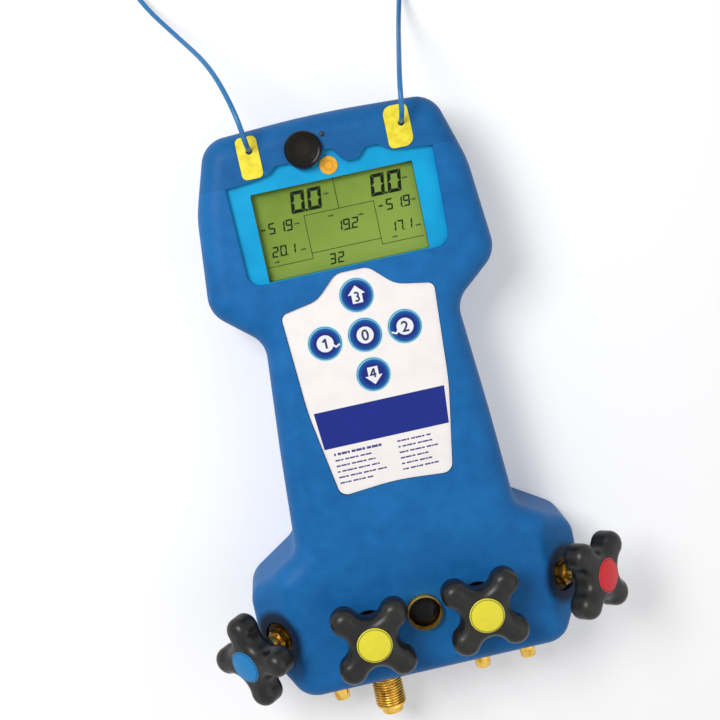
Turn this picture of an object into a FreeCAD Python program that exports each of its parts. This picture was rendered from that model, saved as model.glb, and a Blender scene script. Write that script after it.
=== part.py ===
import FreeCAD, Part
import math
import os
import re
import Sketcher
from FreeCAD import Placement, Rotation, Vector

# Refrigerant manifold gauge: a digital display housing and a four-valve block in a rubber boot.
# Frame: the instrument lies on its back. X to the right, Y from the ports to the head, Z out of the
# front. The origin is on the rest plane, on the line of the valves, in the plane of symmetry.
# Lengths are millimetres.

sizes = {
    # boot outline, half widths and stations along Y
    "front_height": 56.0,
    "top_middle": "=screen_end + screen_length + 31.8",
    "top_corner": "=top_middle - 2.6",
    "top_half_width": 56.6,
    "brow_station": "=screen_end + 38.3",
    "brow_half_width": 67.5,
    "cheek_station": "=screen_end - 9.3",
    "cheek_half_width": 72.3,
    "neck_station": "=cheek_station - 20",
    "neck_half_width": 48.7,
    "waist_station": 94.0,
    "waist_half_width": 53.5,
    "foot_station": 42.0,
    "foot_half_width": 57.0,
    "shoulder_station": 24.0,
    "base_half_width": 85.0,
    "flank_station": -8.8,
    "toe_half_width": 66.8,
    "base_end": -34.4,
    # boot outline roundings
    "top_round": 14.0,
    "crown_round": 500.0,
    "brow_round": 60.0,
    "cheek_round": 15.0,
    "neck_round": 14.0,
    "waist_round": 160.0,
    "foot_round": 9.0,
    "shoulder_round": 14.0,
    "flank_round": 14.0,
    "toe_round": 14.0,
    "front_round": 11.0,
    "rear_round": 4.0,
    "slope_run": 20.0,
    "slope_round": 8.0,
    # walls and gaps of the nested shells
    "boot_wall": 3.0,
    "rear_lip": 4.0,
    "rear_opening_start": 36.0,
    "boot_gap": 0.15,
    "shell_wall": 2.6,
    "block_gap": 0.2,
    "split_height": 28.0,
    "running_gap": 0.3,
    "fit_gap": 0.05,
    "bite": 0.5,
    # hood and the bezel that shows below it
    "seam_station": "=screen_end + screen_length + 5.2",
    "bezel_half_width": 51.3,
    "bezel_foot_half_width": 50.0,
    "bezel_end": "=screen_end - 0.4",
    "bezel_round": 7.0,
    "wave_dip": "=seam_station + 1.2",
    "wave_peak": "=seam_station + 6",
    "wave_notch": "=seam_station + 8.6",
    "wave_round": 3.0,
    "wave_spacing": 10.75,
    "wave_gland_round": 12.0,
    "corner_round": 1.0,
    # display
    "screen_half_width": 40.0,
    "screen_end": 178.7,
    "screen_length": 43.3,
    "window_margin": 3.0,
    "window_thickness": 1.5,
    "gasket_thickness": 0.7,
    "module_margin": 2.0,
    "module_thickness": 5.5,
    # keypad
    "key_station": "=label_top - 32.4",
    "key_pitch": 20.0,
    "key_diameter": 16.0,
    "key_thickness": 1.0,
    "key_stem_diameter": 7.8,
    "key_travel": 0.5,
    "key_rise": 0.8,
    "pad_rise": 1.15,
    "overlay_thickness": 0.8,
    "label_top": "=bezel_end - 1.9",
    "label_crest": 8.0,
    "label_dip_half_width": 19.5,
    "label_dip": "=label_top - 11",
    "label_shoulder": "=label_top - 14.4",
    "label_shoulder_half_width": "=neck_half_width - 10.4",
    "label_waist": 112.0,
    "label_waist_half_width": 35.6,
    "label_foot": 67.2,
    "label_foot_half_width": 28.4,
    "label_middle": "=label_foot + 2.4",
    "label_crest_round": 8.0,
    "label_dip_round": 14.0,
    "label_shoulder_round": 3.5,
    "label_side_round": 120.0,
    "label_foot_round": 5.0,
    # circuit board
    "board_thickness": 1.6,
    "board_half_width": "=screen_half_width + module_margin",
    "board_start": 86.0,
    "board_end": "=screen_end + screen_length + 12",
    "board_post_diameter": 6.0,
    "board_post_margin": 4.0,
    "head_post_half_width": 20.0,
    "neck_post_half_width": "=board_half_width - 5",
    "switch_height": 3.5,
    "switch_width": 6.0,
    "plunger_diameter": 3.4,
    # things set in the hood
    "gland_station": "=screen_end + screen_length + 17.5",
    "gland_half_spacing": 36.5,
    "gland_length": 20.3,
    "left_gland_width": 10.3,
    "right_gland_width": 12.2,
    "gland_round": 2.6,
    "gland_big_round": 4.6,
    "gland_depth": 10.0,
    "gland_rise": 0.6,
    "cord_hole_diameter": 3.1,
    "cord_hole_depth": 6.0,
    "cord_hole_rest": 0.6,
    "plug_across": -10.5,
    "plug_station": "=screen_end + screen_length + 16",
    "plug_diameter": 18.0,
    "plug_rise": 3.8,
    "plug_rim": 1.2,
    "plug_dish": 0.6,
    "plug_shank_diameter": 10.0,
    "plug_shank_length": 7.0,
    "lamp_station": "=screen_end + screen_length + 21.3",
    "lamp_diameter": 2.4,
    "lamp_depth": 3.0,
    "badge_station": "=seam_station + 1",
    "badge_diameter": 8.8,
    "badge_thickness": 0.7,
    # rear
    "door_half_width": 24.0,
    "door_start": 43.0,
    "door_end": 171.0,
    "door_round": 4.0,
    "door_step": 1.3,
    "bay_half_width": 17.0,
    "bay_start": 54.0,
    "cell_diameter": 14.5,
    "cell_length": 50.5,
    "cell_spacing": 15.5,
    "cell_joint": 0.5,
    "contact_thickness": 0.5,
    "contact_reach": 1.5,
    "strip_half_width": 13.2,
    "strip_height": 11.2,
    "spring_diameter": 5.8,
    "bay_wall": 2.2,
    "bay_wall_height": 14.0,
    "hook_pivot_station": "=screen_end + screen_length + 15",
    "hook_length": 50.0,
    "hook_width": 32.0,
    "hook_band": 4.0,
    "hook_thickness": 2.5,
    "hook_lift": 1.2,
    "hook_lug_width": 3.0,
    # fasteners
    "screw_diameter": 3.0,
    "screw_head_diameter": 5.6,
    "screw_head_height": 2.2,
    "screw_length": 30.0,
    "door_screw_length": 8.0,
    "boss_diameter": 8.0,
    "head_screw_half_width": "=brow_half_width - 11.5",
    "head_screw_station": "=brow_station - 9",
    "cheek_screw_half_width": "=cheek_half_width - 14.3",
    "cheek_screw_station": "=cheek_station + 12.6",
    "foot_screw_half_width": "=foot_half_width - 14",
    "foot_screw_station": "=foot_station + 8",
    # valve block
    "block_floor": 12.0,
    "block_end": 14.0,
    "rib_half_width": 50.0,
    "rib_width": 4.0,
    "rib_spacing": 22.0,
    "front_valve_half_spacing": 28.3,
    "vacuum_valve_offset": 2.0,
    "low_valve_offset": 1.0,
    "low_valve_lean": 8.0,
    "port_height": 26.0,
    "passage_diameter": 6.0,
    "passage_overrun": 4.0,
    "gallery_height": 31.0,
    "gallery_diameter": 4.6,
    "orifice_diameter": 5.0,
    "orifice_depth": 34.0,
    "chamber_depth": 27.0,
    # valves, measured outwards from the boot's surface
    "bonnet_thread_diameter": 14.0,
    "bonnet_depth": 18.0,
    "bonnet_collar_diameter": 17.2,
    "bonnet_seat_depth": 1.5,
    "bonnet_collar_rise": -1.4,
    "gland_nut_flats": 10.6,
    "gland_nut_rise": 2.4,
    "gland_nut_chamfer": 0.7,
    "packing_diameter": 11.6,
    "packing_start": -6.0,
    "packing_length": 3.6,
    "stem_diameter": 8.5,
    "stem_depth": 14.0,
    "stem_square": 6.0,
    "stem_square_length": 12.0,
    "piston_clearance": 0.08,
    "piston_chamfer": 0.8,
    "knob_start": 9.5,
    "knob_hub_diameter": 16.0,
    "knob_hub_height": 3.0,
    "knob_thickness": 14.0,
    "knob_reach": 24.5,
    "knob_lobe_radius": 7.0,
    "knob_valley": 12.5,
    "knob_front_round": 5.5,
    "knob_rear_round": 4.0,
    "cap_diameter": 17.4,
    "cap_recess": 1.5,
    "cap_dome": 0.9,
    # sight glass
    "sight_diameter": 17.6,
    "sight_thread_diameter": 14.0,
    "sight_thread_depth": 16.0,
    "sight_well_diameter": 10.0,
    "sight_lens_diameter": 15.2,
    "sight_rise": 4.0,
    "sight_lens_seat": 0.8,
    "sight_lens_thickness": 2.4,
    # ports
    "inner_port_spacing": 26.0,
    "outer_port_spacing": 50.5,
    "small_thread_diameter": 11.11,
    "small_thread_length": 12.5,
    "small_nose_diameter": 8.9,
    "small_nose_tip": 7.5,
    "small_nose_length": 6.0,
    "small_bore": 4.4,
    "small_collar_diameter": 13.6,
    "large_thread_diameter": 15.88,
    "large_thread_length": 28.2,
    "large_nose_diameter": 11.9,
    "large_nose_tip": 11.0,
    "large_nose_length": 3.3,
    "large_bore": 5.6,
    "large_collar_diameter": 18.0,
    "collar_length": 2.4,
    "small_shank_diameter": 10.0,
    "large_shank_diameter": 14.0,
    "shank_length": 9.0,
    "small_port_hole": 18.8,
    "large_port_hole": 23.0,
    # pressure sensors
    "sensor_diameter": 14.0,
    "sensor_nut_length": 8.0,
    "sensor_can_diameter": 11.0,
    "sensor_length": 17.0,
    "sensor_shank_diameter": 8.0,
    "sensor_shank_length": 6.0,
    # probe cords
    "cord_diameter": 2.5,
    "coil_radius": 13.8,
    "coil_section": 5.2,
    "tie_thickness": 0.9,
    "tie_width": 3.0,
    "probe_sleeve_diameter": 6.0,
    "probe_sleeve_length": 22.0,
    "probe_tip_diameter": 4.0,
    "probe_tip_length": 45.0,
}

doc = FreeCAD.newDocument("manifold_gauge")
sheet = doc.addObject("Spreadsheet::Sheet", "Sizes")
for row, alias in enumerate(sizes, start=1):
    sheet.set(f"A{row}", alias)
    sheet.setAlias(f"B{row}", alias)
for row, content in enumerate(sizes.values(), start=1):
    sheet.set(f"B{row}", str(content))
doc.recompute()

nodes = []


def mm(text):
    return float(sheet.evalExpression(text))


def from_sheet(word):
    return "Sizes." + word.group() if word.group() in sizes else word.group()


def bound(text):
    return re.sub(r"[a-z]\w+", from_sheet, text)


def bind(item, **properties):
    for name, text in properties.items():
        item.setExpression(name, bound(text))
    return item


def keep(item, label):
    item.Label = label
    nodes.append(item)
    return item


def cylinder(name, radius, height, place=Placement()):
    item = doc.addObject("Part::Cylinder", name)
    bind(item, Radius=radius, Height=height)
    item.Placement = place
    return item


def box(name, length, width, height, corner):
    item = doc.addObject("Part::Box", name)
    bind(item, Length=length, Width=width, Height=height)
    item.Placement = Placement(Vector(*corner), Rotation())
    return item


def shaped(name, shape, place=Placement()):
    item = doc.addObject("Part::Feature", name)
    item.Shape = shape
    item.Placement = place
    return item


def cut(name, base, tools):
    item = doc.addObject("Part::Cut", name)
    item.Base = base
    if len(tools) > 1:
        group = doc.addObject("Part::MultiFuse", name + "Tools")
        group.Shapes = tools
        group.Refine = False
        item.Tool = group
    else:
        item.Tool = tools[0]
    return item


def fuse(name, shapes):
    item = doc.addObject("Part::MultiFuse", name)
    item.Shapes = shapes
    return item


def common(name, first, second):
    item = doc.addObject("Part::Common", name)
    item.Base = first
    item.Tool = second
    return item


def profile(body, points, name="Profile"):
    sketch = body.newObject("Sketcher::SketchObject", name)
    plane = [feature for feature in body.Origin.OriginFeatures if feature.Role == "XZ_Plane"][0]
    sketch.AttachmentSupport = [(plane, "")]
    sketch.MapMode = "FlatFace"
    corners = [Vector(mm(x), mm(y), 0) for x, y in points]
    for index, corner in enumerate(corners):
        sketch.addGeometry(Part.LineSegment(corner, corners[(index + 1) % len(corners)]), False)
    for index, (x, y) in enumerate(points):
        sketch.addConstraint(Sketcher.Constraint("Coincident", index, 2, (index + 1) % len(points), 1))
        for kind, text, axis in (("DistanceX", x, -2), ("DistanceY", y, -1)):
            if text == "0":
                sketch.addConstraint(Sketcher.Constraint("PointOnObject", index, 1, axis))
                continue
            number = sketch.addConstraint(Sketcher.Constraint(kind, -1, 1, index, 1, mm(text)))
            sketch.setExpression(f"Constraints[{number}]", bound(text))
    return sketch


def turned(name, points, place=Placement()):
    body = doc.addObject("PartDesign::Body", name)
    sketch = profile(body, points)
    feature = body.newObject("PartDesign::Revolution", "Turned")
    feature.Profile = sketch
    feature.ReferenceAxis = (sketch, ["V_Axis"])
    feature.Angle = 360
    body.Placement = place
    return body


def corner_arc(before, here, after, radius):
    back = (before - here).normalize()
    ahead = (after - here).normalize()
    half = back.getAngle(ahead) / 2
    reach = radius / math.tan(half)
    start = here + back * reach
    end = here + ahead * reach
    middle = here + (back + ahead).normalize() * (radius / math.sin(half) - radius)
    return start, middle, end


def rounded_wire(corners, level=0.0):
    # a closed outline of straight runs, each corner (x, y, radius) rounded by a tangent arc
    points = [Vector(x, y, level) for x, y, radius in corners]
    count = len(corners)
    arcs = [corner_arc(points[index - 1], points[index], points[(index + 1) % count], corners[index][2])
            for index in range(count)]
    edges = []
    for index, (start, middle, end) in enumerate(arcs):
        if start.distanceToPoint(end) > 1e-6:
            edges.append(Part.Arc(start, middle, end).toShape())
        edges.append(Part.LineSegment(end, arcs[(index + 1) % count][0]).toShape())
    return Part.Wire(edges)


def moved_inwards(corners, inset):
    # the same outline, listed clockwise, with every run and arc moved inwards
    result = []
    for index, (x, y, radius) in enumerate(corners):
        before = corners[index - 1]
        after = corners[(index + 1) % len(corners)]
        arriving = Vector(x - before[0], y - before[1], 0).normalize()
        leaving = Vector(after[0] - x, after[1] - y, 0).normalize()
        shift = Vector(arriving.y + leaving.y, -arriving.x - leaving.x, 0)
        shift = shift * (inset / (1 + arriving.dot(leaving)))
        turn = arriving.cross(leaving).z
        result.append((x + shift.x, y + shift.y, radius + math.copysign(inset, turn)))
    return result


def mirrored(half):
    # the right half of an outline, from the top down, and its mirror image
    left = [(-x, y, radius) for x, y, radius in reversed(half) if x > 0]
    return half + left


def rectangle(x_start, x_end, y_start, y_end, *radii):
    # corners from the top right, clockwise; one radius for all or one for each
    spots = [(x_end, y_end), (x_end, y_start), (x_start, y_start), (x_start, y_end)]
    rounds = radii if len(radii) == 4 else radii * 4
    return [(x, y, radius) for (x, y), radius in zip(spots, rounds)]


def prism(name, corners, bottom, top, inset=0.0):
    wire = rounded_wire(moved_inwards(corners, inset), bottom)
    return shaped(name, Part.Face(wire).extrude(Vector(0, 0, top - bottom)))


def boot_outline():
    return mirrored([
        (0.0, mm("top_middle"), mm("crown_round")),
        (mm("top_half_width"), mm("top_corner"), mm("top_round")),
        (mm("brow_half_width"), mm("brow_station"), mm("brow_round")),
        (mm("cheek_half_width"), mm("cheek_station"), mm("cheek_round")),
        (mm("neck_half_width"), mm("neck_station"), mm("neck_round")),
        (mm("waist_half_width"), mm("waist_station"), mm("waist_round")),
        (mm("foot_half_width"), mm("foot_station"), mm("foot_round")),
        (mm("base_half_width"), mm("shoulder_station"), mm("shoulder_round")),
        (mm("base_half_width"), mm("flank_station"), mm("flank_round")),
        (mm("toe_half_width"), mm("base_end"), mm("toe_round")),
    ])


def body_solid(inset, bottom):
    # the boot's outer form moved inwards by inset: rounded front, a slope at each end of the base
    top = mm("front_height") - inset
    wire = rounded_wire(moved_inwards(boot_outline(), inset), bottom)
    solid = Part.Face(wire).extrude(Vector(0, 0, top - bottom))
    rim = [edge for edge in solid.Edges if edge.BoundBox.ZMin > top - 0.01]
    solid = solid.makeFillet(mm("front_round") - inset, rim)
    slope_sum = mm("base_half_width + front_height - slope_run") - inset * math.sqrt(2)
    outside = mm("base_half_width") + 5
    above = mm("front_height") + 5
    start = mm("base_end") - 5
    end = mm("foot_station + slope_run")
    for side in (1, -1):
        corners = [Vector(side * outside, start, slope_sum - outside),
                   Vector(side * outside, start, above),
                   Vector(side * (slope_sum - above), start, above)]
        wedge = Part.Face(Part.makePolygon(corners + corners[:1])).extrude(Vector(0, end - start, 0))
        solid = solid.cut(wedge)
    slope_rim = [edge for edge in solid.Edges if on_slope(edge, slope_sum)]
    return solid.makeFillet(mm("slope_round") - inset, slope_rim)


def on_slope(edge, slope_sum):
    middle = (edge.FirstParameter + edge.LastParameter) / 2
    spots = [edge.valueAt(place) for place in (edge.FirstParameter, middle, edge.LastParameter)]
    return all(abs(abs(spot.x) + spot.z - slope_sum) < 0.001 for spot in spots)


def rear_rounded(solid):
    edges = [edge for edge in solid.Edges if edge.BoundBox.ZMax < 0.01]
    return solid.makeFillet(mm("rear_round"), edges)


housing_inset = mm("boot_wall + boot_gap")
cavity_inset = mm("boot_wall + boot_gap + shell_wall")
block_inset = cavity_inset + mm("block_gap")
front = mm("front_height")
front_face = front - housing_inset
shell_inside = front - cavity_inset
rear_face = housing_inset
rear_inside = cavity_inset
split = mm("split_height")
through = front + 20
bite = mm("bite")

# Where the axes of the valves leave the boot. Their own Z points out of it.
# The low valve leans a little towards the ports, and the vacuum valve stands a little nearer to them.
slope_middle = mm("base_half_width - slope_run / 2")
slope_height = mm("front_height - slope_run / 2")
low_lean = Rotation(Vector(1, 0, 0), mm("low_valve_lean"))
valve_places = {
    "low": Placement(Vector(-slope_middle, -mm("low_valve_offset"), slope_height),
                     Rotation(Vector(0, 1, 0), -45) * low_lean),
    "vacuum": Placement(Vector(-mm("front_valve_half_spacing"), -mm("vacuum_valve_offset"), front),
                        Rotation()),
    "charge": Placement(Vector(mm("front_valve_half_spacing"), 0, front), Rotation()),
    "high": Placement(Vector(slope_middle, 0, slope_height), Rotation(Vector(0, 1, 0), 45)),
}
knob_turns = {"low": 3, "vacuum": 44, "charge": 47, "high": 40}
sight_place = Placement(Vector(0, 0, front), Rotation())

# The port fittings screw into the end face of the block and point down the instrument.
port_face = mm("base_end") + block_inset
port_turn = Rotation(Vector(1, 0, 0), 90)
port_places = {
    "low": Placement(Vector(-mm("outer_port_spacing"), port_face, mm("port_height")), port_turn),
    "vacuum": Placement(Vector(-mm("inner_port_spacing"), port_face, mm("port_height")), port_turn),
    "charge": Placement(Vector(mm("inner_port_spacing"), port_face, mm("port_height")), port_turn),
    "high": Placement(Vector(mm("outer_port_spacing"), port_face, mm("port_height")), port_turn),
}
port_kinds = {"low": "small", "vacuum": "large", "charge": "small", "high": "small"}

key_spots = {
    "key_0": Vector(0, mm("key_station"), 0),
    "key_1": Vector(-mm("key_pitch"), mm("key_station"), 0),
    "key_2": Vector(mm("key_pitch"), mm("key_station"), 0),
    "key_3": Vector(0, mm("key_station + key_pitch"), 0),
    "key_4": Vector(0, mm("key_station - key_pitch"), 0),
}

gland_spots = {
    "left": Vector(-mm("gland_half_spacing"), mm("gland_station"), 0),
    "right": Vector(mm("gland_half_spacing"), mm("gland_station"), 0),
}
# Probe cords: each leaves its gland upwards, bends over the head, comes down to the surface and ends in a
# coil with a temperature probe. These points are also the route of the finished cord.
cord_routes = {
    "left": [
        (-35.8, 241.8, 50.0),
        (-36.1, 243.6, 66.0),
        (-38.4, 263.0, 68.0),
        (-45.5, 286.0, 48.0),
        (-58.0, 304.0, 22.0),
        (-73.5, 326.0, 5.5),
        (-84.0, 355.2, 3.0),
    ],
    "right": [
        (38.1, 240.1, 50.0),
        (38.3, 241.7, 66.0),
        (40.2, 259.0, 67.5),
        (45.5, 276.0, 46.0),
        (50.5, 289.0, 20.0),
        (56.0, 305.0, 3.2),
        (61.0, 327.0, 3.0),
    ],
}


def label_outline():
    return mirrored([
        (mm("label_crest"), mm("label_top"), mm("label_crest_round")),
        (mm("label_dip_half_width"), mm("label_dip"), mm("label_dip_round")),
        (mm("label_shoulder_half_width"), mm("label_shoulder"), mm("label_shoulder_round")),
        (mm("label_waist_half_width"), mm("label_waist"), mm("label_side_round")),
        (mm("label_foot_half_width"), mm("label_foot"), mm("label_foot_round")),
        (0.0, mm("label_middle"), mm("label_side_round")),
    ])


def bezel_outline():
    # the window in the boot, open towards the hood
    beyond = mm("wave_notch") + 5
    turn = mm("corner_round")
    return [
        (mm("bezel_half_width"), beyond, turn),
        (mm("bezel_foot_half_width"), mm("bezel_end"), mm("bezel_round")),
        (-mm("bezel_foot_half_width"), mm("bezel_end"), mm("bezel_round")),
        (-mm("bezel_half_width"), beyond, turn),
    ]


def hood_outline():
    # everything above the seam; its lower edge waves round the glands, the plug and the badge
    outside = mm("base_half_width") + 10
    beyond = mm("top_middle") + 10
    seam = mm("seam_station")
    dip, peak, notch = mm("wave_dip"), mm("wave_peak"), mm("wave_notch")
    step = mm("wave_spacing")
    turn = mm("wave_round")
    sharp = mm("corner_round")
    rise = peak - dip
    half = [
        (outside, beyond, sharp),
        (outside, seam, sharp),
        (mm("bezel_half_width"), seam, sharp),
        (mm("gland_half_spacing"), dip, mm("wave_gland_round")),
        (step * 2.7, dip + rise / 3, turn),
        (step * 2.35, peak, turn),
        (step * 1.75, peak, turn),
        (step * 1.3, dip, turn),
        (step * 0.75, dip, turn),
        (step * 0.24, notch, turn * 0.6),
    ]
    return mirrored(half)


def gland_outline(side, grow=0.0):
    spot = gland_spots[side]
    width = mm(f"{side}_gland_width") / 2 + grow
    length = mm("gland_length") / 2 + grow
    small = mm("gland_round")
    big = mm("gland_big_round") if side == "right" else small
    return rectangle(spot.x - width, spot.x + width, spot.y - length, spot.y + length,
                     small, big, small, big)


def front_valve_holes(name, radius):
    # round holes through a skin for the four valves and the sight glass, from just below it outwards
    holes = []
    for key, place in list(valve_places.items()) + [("sight", sight_place)]:
        start = Placement(Vector(0, 0, -block_inset - 2), Rotation())
        holes.append(cylinder(f"{name}_{key}", radius, "slope_run", place * start))
    return holes


def port_holes(name, growth):
    holes = []
    for key, place in port_places.items():
        start = Placement(Vector(0, 0, -0.1), Rotation())
        holes.append(cylinder(f"{name}_{key}", f"{port_kinds[key]}_{growth}", "slope_run", place * start))
    return holes


# Boot and hood: one moulded form, parted at the seam
outer_form = rear_rounded(body_solid(0.0, 0.0))
inner_form = body_solid(mm("boot_wall"), mm("boot_wall"))
whole_width = mm("base_half_width") + 10
rear_space = prism("rear_space", rectangle(-whole_width, whole_width, mm("rear_opening_start"),
                                           mm("top_middle") + 10, 6.0), -2, rear_inside + 1)
rear_outline = prism("rear_outline", boot_outline(), -1, rear_inside, mm("boot_wall + rear_lip"))
boot_shell = cut("boot_shell", shaped("outer_form", outer_form), [
    shaped("inner_form", inner_form),
    common("rear_opening", rear_outline, rear_space),
])
hood_space = prism("hood_space", hood_outline(), -1, through)
boot_holes = [
    prism("bezel_opening", bezel_outline(), shell_inside, through),
    prism("label_opening", label_outline(), shell_inside, through, -mm("running_gap")),
]
boot_holes += front_valve_holes("boot_hole", "bonnet_collar_diameter / 2 + 2 * running_gap")
boot_holes += [cylinder(f"boot_port_{key}", f"{port_kinds[key]}_port_hole / 2", "slope_run",
                        place * Placement(Vector(0, 0, mm("shell_wall")), Rotation()))
               for key, place in port_places.items()]
keep(cut("boot", boot_shell, [hood_space] + boot_holes), "boot")

gland_bottom = front - mm("gland_depth") - 2
hood_holes = [prism(f"hood_gland_{side}", gland_outline(side, mm("fit_gap")), gland_bottom, through)
              for side in gland_spots]
plug_spot = Vector(mm("plug_across"), mm("plug_station"), shell_inside)
lamp_spot = Vector(0, mm("lamp_station"), shell_inside)
hood_holes.append(cylinder("hood_plug", "plug_diameter / 2 + fit_gap", "slope_run",
                           Placement(plug_spot, Rotation())))
hood_holes.append(cylinder("hood_lamp", "lamp_diameter / 2 + fit_gap", "slope_run",
                           Placement(lamp_spot, Rotation())))
keep(cut("hood", common("hood_form", boot_shell, hood_space), hood_holes), "boot_hood")

# Display housing, front half: bezel, key pad, screw bosses and board posts
housing_form = body_solid(housing_inset, rear_face)
cavity_form = body_solid(cavity_inset, rear_inside)
cavity = shaped("cavity_form", cavity_form)
housing_shell = cut("housing_shell", shaped("housing_form", housing_form), [cavity])
front_space = prism("front_space", rectangle(-whole_width, whole_width, mm("base_end") - 10,
                                             mm("top_middle") + 10, 1.0), split, through)
boss_spots = {}
for key in ("head", "cheek", "foot"):
    for side, sign in (("left", -1), ("right", 1)):
        across = sign * mm(f"{key}_screw_half_width")
        boss_spots[f"{key}_{side}"] = Vector(across, mm(f"{key}_screw_station"), 0)
post_spots = []
for side in (-1, 1):
    post_spots.append(Vector(side * mm("head_post_half_width"), mm("board_end - board_post_margin"), 0))
    post_spots.append(Vector(side * mm("neck_post_half_width"), mm("board_start + board_post_margin"), 0))
window_face = shell_inside - mm("window_thickness")
module_face = window_face - mm("gasket_thickness")
board_face = module_face - mm("module_thickness")
board_back = board_face - mm("board_thickness")


def raised(spots, height):
    return {key: Vector(spot.x, spot.y, height) for key, spot in spots.items()}


front_bosses = [cylinder(f"front_boss_{key}", "boss_diameter / 2", str(shell_inside - split + bite),
                         Placement(spot, Rotation())) for key, spot in raised(boss_spots, split).items()]
posts = [cylinder(f"board_post_{index}", "board_post_diameter / 2", str(shell_inside - board_face + bite),
                  Placement(Vector(spot.x, spot.y, board_face), Rotation()))
         for index, spot in enumerate(post_spots)]
key_pad = prism("key_pad", label_outline(), front_face - 1, front_face + mm("pad_rise"))
front_part = common("front_part", housing_shell, front_space)
front_solid = fuse("front_solid", [front_part, key_pad] + front_bosses + posts)
screen_corners = rectangle(-mm("screen_half_width"), mm("screen_half_width"), mm("screen_end"),
                           mm("screen_end + screen_length"), 0.8)
screen_opening = prism("screen_opening", screen_corners, shell_inside - 1, through)
front_cuts = [screen_opening]
front_cuts += [cylinder(f"stem_hole_{key}", "key_stem_diameter / 2 + running_gap", "slope_run",
                        Placement(Vector(spot.x, spot.y, shell_inside - 5), Rotation()))
               for key, spot in key_spots.items()]
front_cuts += [prism(f"housing_gland_{side}", gland_outline(side, mm("fit_gap")), gland_bottom, through)
               for side in gland_spots]
below_face = Vector(0, 0, -5)
front_cuts.append(cylinder("housing_plug", "plug_shank_diameter / 2 + fit_gap", "slope_run",
                           Placement(plug_spot + below_face, Rotation())))
front_cuts.append(cylinder("housing_lamp", "lamp_diameter / 2 + fit_gap", "slope_run",
                           Placement(lamp_spot + below_face, Rotation())))
front_cuts += front_valve_holes("housing_hole", "bonnet_collar_diameter / 2 + running_gap")
front_cuts += port_holes("front_port", "collar_diameter / 2 + running_gap")
pilot_depth = mm("screw_length + screw_head_height") + rear_face + 1
front_cuts += [cylinder(f"pilot_{key}", "screw_diameter / 2 + fit_gap", str(pilot_depth - split + 1),
                        Placement(spot, Rotation())) for key, spot in raised(boss_spots, split - 1).items()]
keep(cut("front_housing", front_solid, front_cuts), "front_housing")

# Display housing, rear half: floor, screw bosses, ribs below the block, battery bay, hook recess
rear_part = cut("rear_part", housing_shell, [front_space])
rear_bosses = [cylinder(f"rear_boss_{key}", "boss_diameter / 2", str(split - rear_inside + bite),
                        Placement(spot, Rotation()))
               for key, spot in raised(boss_spots, rear_inside - bite).items()]
ribs = [box(f"rib_{index}", "2 * rib_half_width", "rib_width", str(mm("block_floor") - rear_inside + bite),
            (-mm("rib_half_width"), mm("block_end - rib_width") - index * mm("rib_spacing"),
             rear_inside - bite))
        for index in range(2)]
bay_end = mm("bay_start + 2 * cell_length + cell_joint + 2 * contact_thickness + 2 * contact_reach")
bay_walls = [box(f"bay_wall_{name}", "2 * bay_half_width", "bay_wall", "bay_wall_height",
                 (-mm("bay_half_width"), start, rear_inside - bite))
             for name, start in (("foot", mm("bay_start - bay_wall")), ("head", bay_end))]
door_screw_spots = [Vector(0, (mm("door_start + bay_start - bay_wall")) / 2, 0),
                    Vector(0, (mm("door_end") + bay_end + mm("bay_wall")) / 2, 0)]
door_bosses = [cylinder(f"door_boss_{index}", "boss_diameter / 2", "door_screw_length",
                        Placement(Vector(spot.x, spot.y, rear_inside - bite), Rotation()))
               for index, spot in enumerate(door_screw_spots)]
rear_solid = fuse("rear_solid", [rear_part] + rear_bosses + ribs + bay_walls + door_bosses)

door_seat = rear_face + mm("door_step")
door_corners = rectangle(-mm("door_half_width"), mm("door_half_width"), mm("door_start"), mm("door_end"),
                         mm("door_round"))
bay_corners = rectangle(-mm("bay_half_width"), mm("bay_half_width"), mm("bay_start"), bay_end, 1.0)
hook_half = mm("hook_width / 2")
hook_pivot = mm("hook_pivot_station")
hook_back = mm("hook_lift")
hook_axis_height = mm("hook_lift + hook_thickness / 2")
lug_end = hook_half + mm("hook_lug_width") + mm("running_gap")
recess_corners = rectangle(-hook_half - 1, hook_half + 1, hook_pivot - mm("hook_length") - 1,
                           hook_pivot + mm("hook_thickness"), 2.0)
rear_cuts = [
    prism("door_recess", door_corners, 0, door_seat, -mm("running_gap / 2")),
    prism("bay_opening", bay_corners, 0, rear_inside + 0.4),
    prism("hook_recess", recess_corners, 0, mm("hook_lift + hook_thickness + running_gap")),
]
rear_cuts += [cylinder(f"shank_hole_{key}", "screw_diameter / 2 + fit_gap", str(split),
                       Placement(spot, Rotation())) for key, spot in raised(boss_spots, 1).items()]
rear_cuts += [cylinder(f"head_hole_{key}", "screw_head_diameter / 2 + fit_gap", "screw_head_height + 1",
                       Placement(spot, Rotation()))
              for key, spot in raised(boss_spots, rear_face - 1).items()]
rear_cuts += [cylinder(f"door_pilot_{index}", "screw_diameter / 2 + fit_gap", "door_screw_length",
                       Placement(Vector(spot.x, spot.y, rear_face), Rotation()))
              for index, spot in enumerate(door_screw_spots)]
rear_cuts += port_holes("rear_port", "collar_diameter / 2 + running_gap")
rear_body = cut("rear_body", rear_solid, rear_cuts)
lug_height = str(rear_inside - bite - mm("hook_lift / 2"))
lugs = [box(f"hook_lug_{name}", "hook_lug_width", "2 * hook_thickness", lug_height,
            (start, hook_pivot - mm("hook_thickness"), mm("hook_lift / 2")))
        for name, start in (("left", -lug_end), ("right", lug_end - mm("hook_lug_width")))]
hook_turn = Rotation(Vector(0, 1, 0), 90)
hook_bore = cylinder("hook_bore", "hook_thickness / 2 + fit_gap", str(2 * lug_end - 2),
                     Placement(Vector(-lug_end + 1, hook_pivot, hook_axis_height), hook_turn))
keep(cut("rear_housing", fuse("rear_with_lugs", [rear_body] + lugs), [hook_bore]), "rear_housing")

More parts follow.
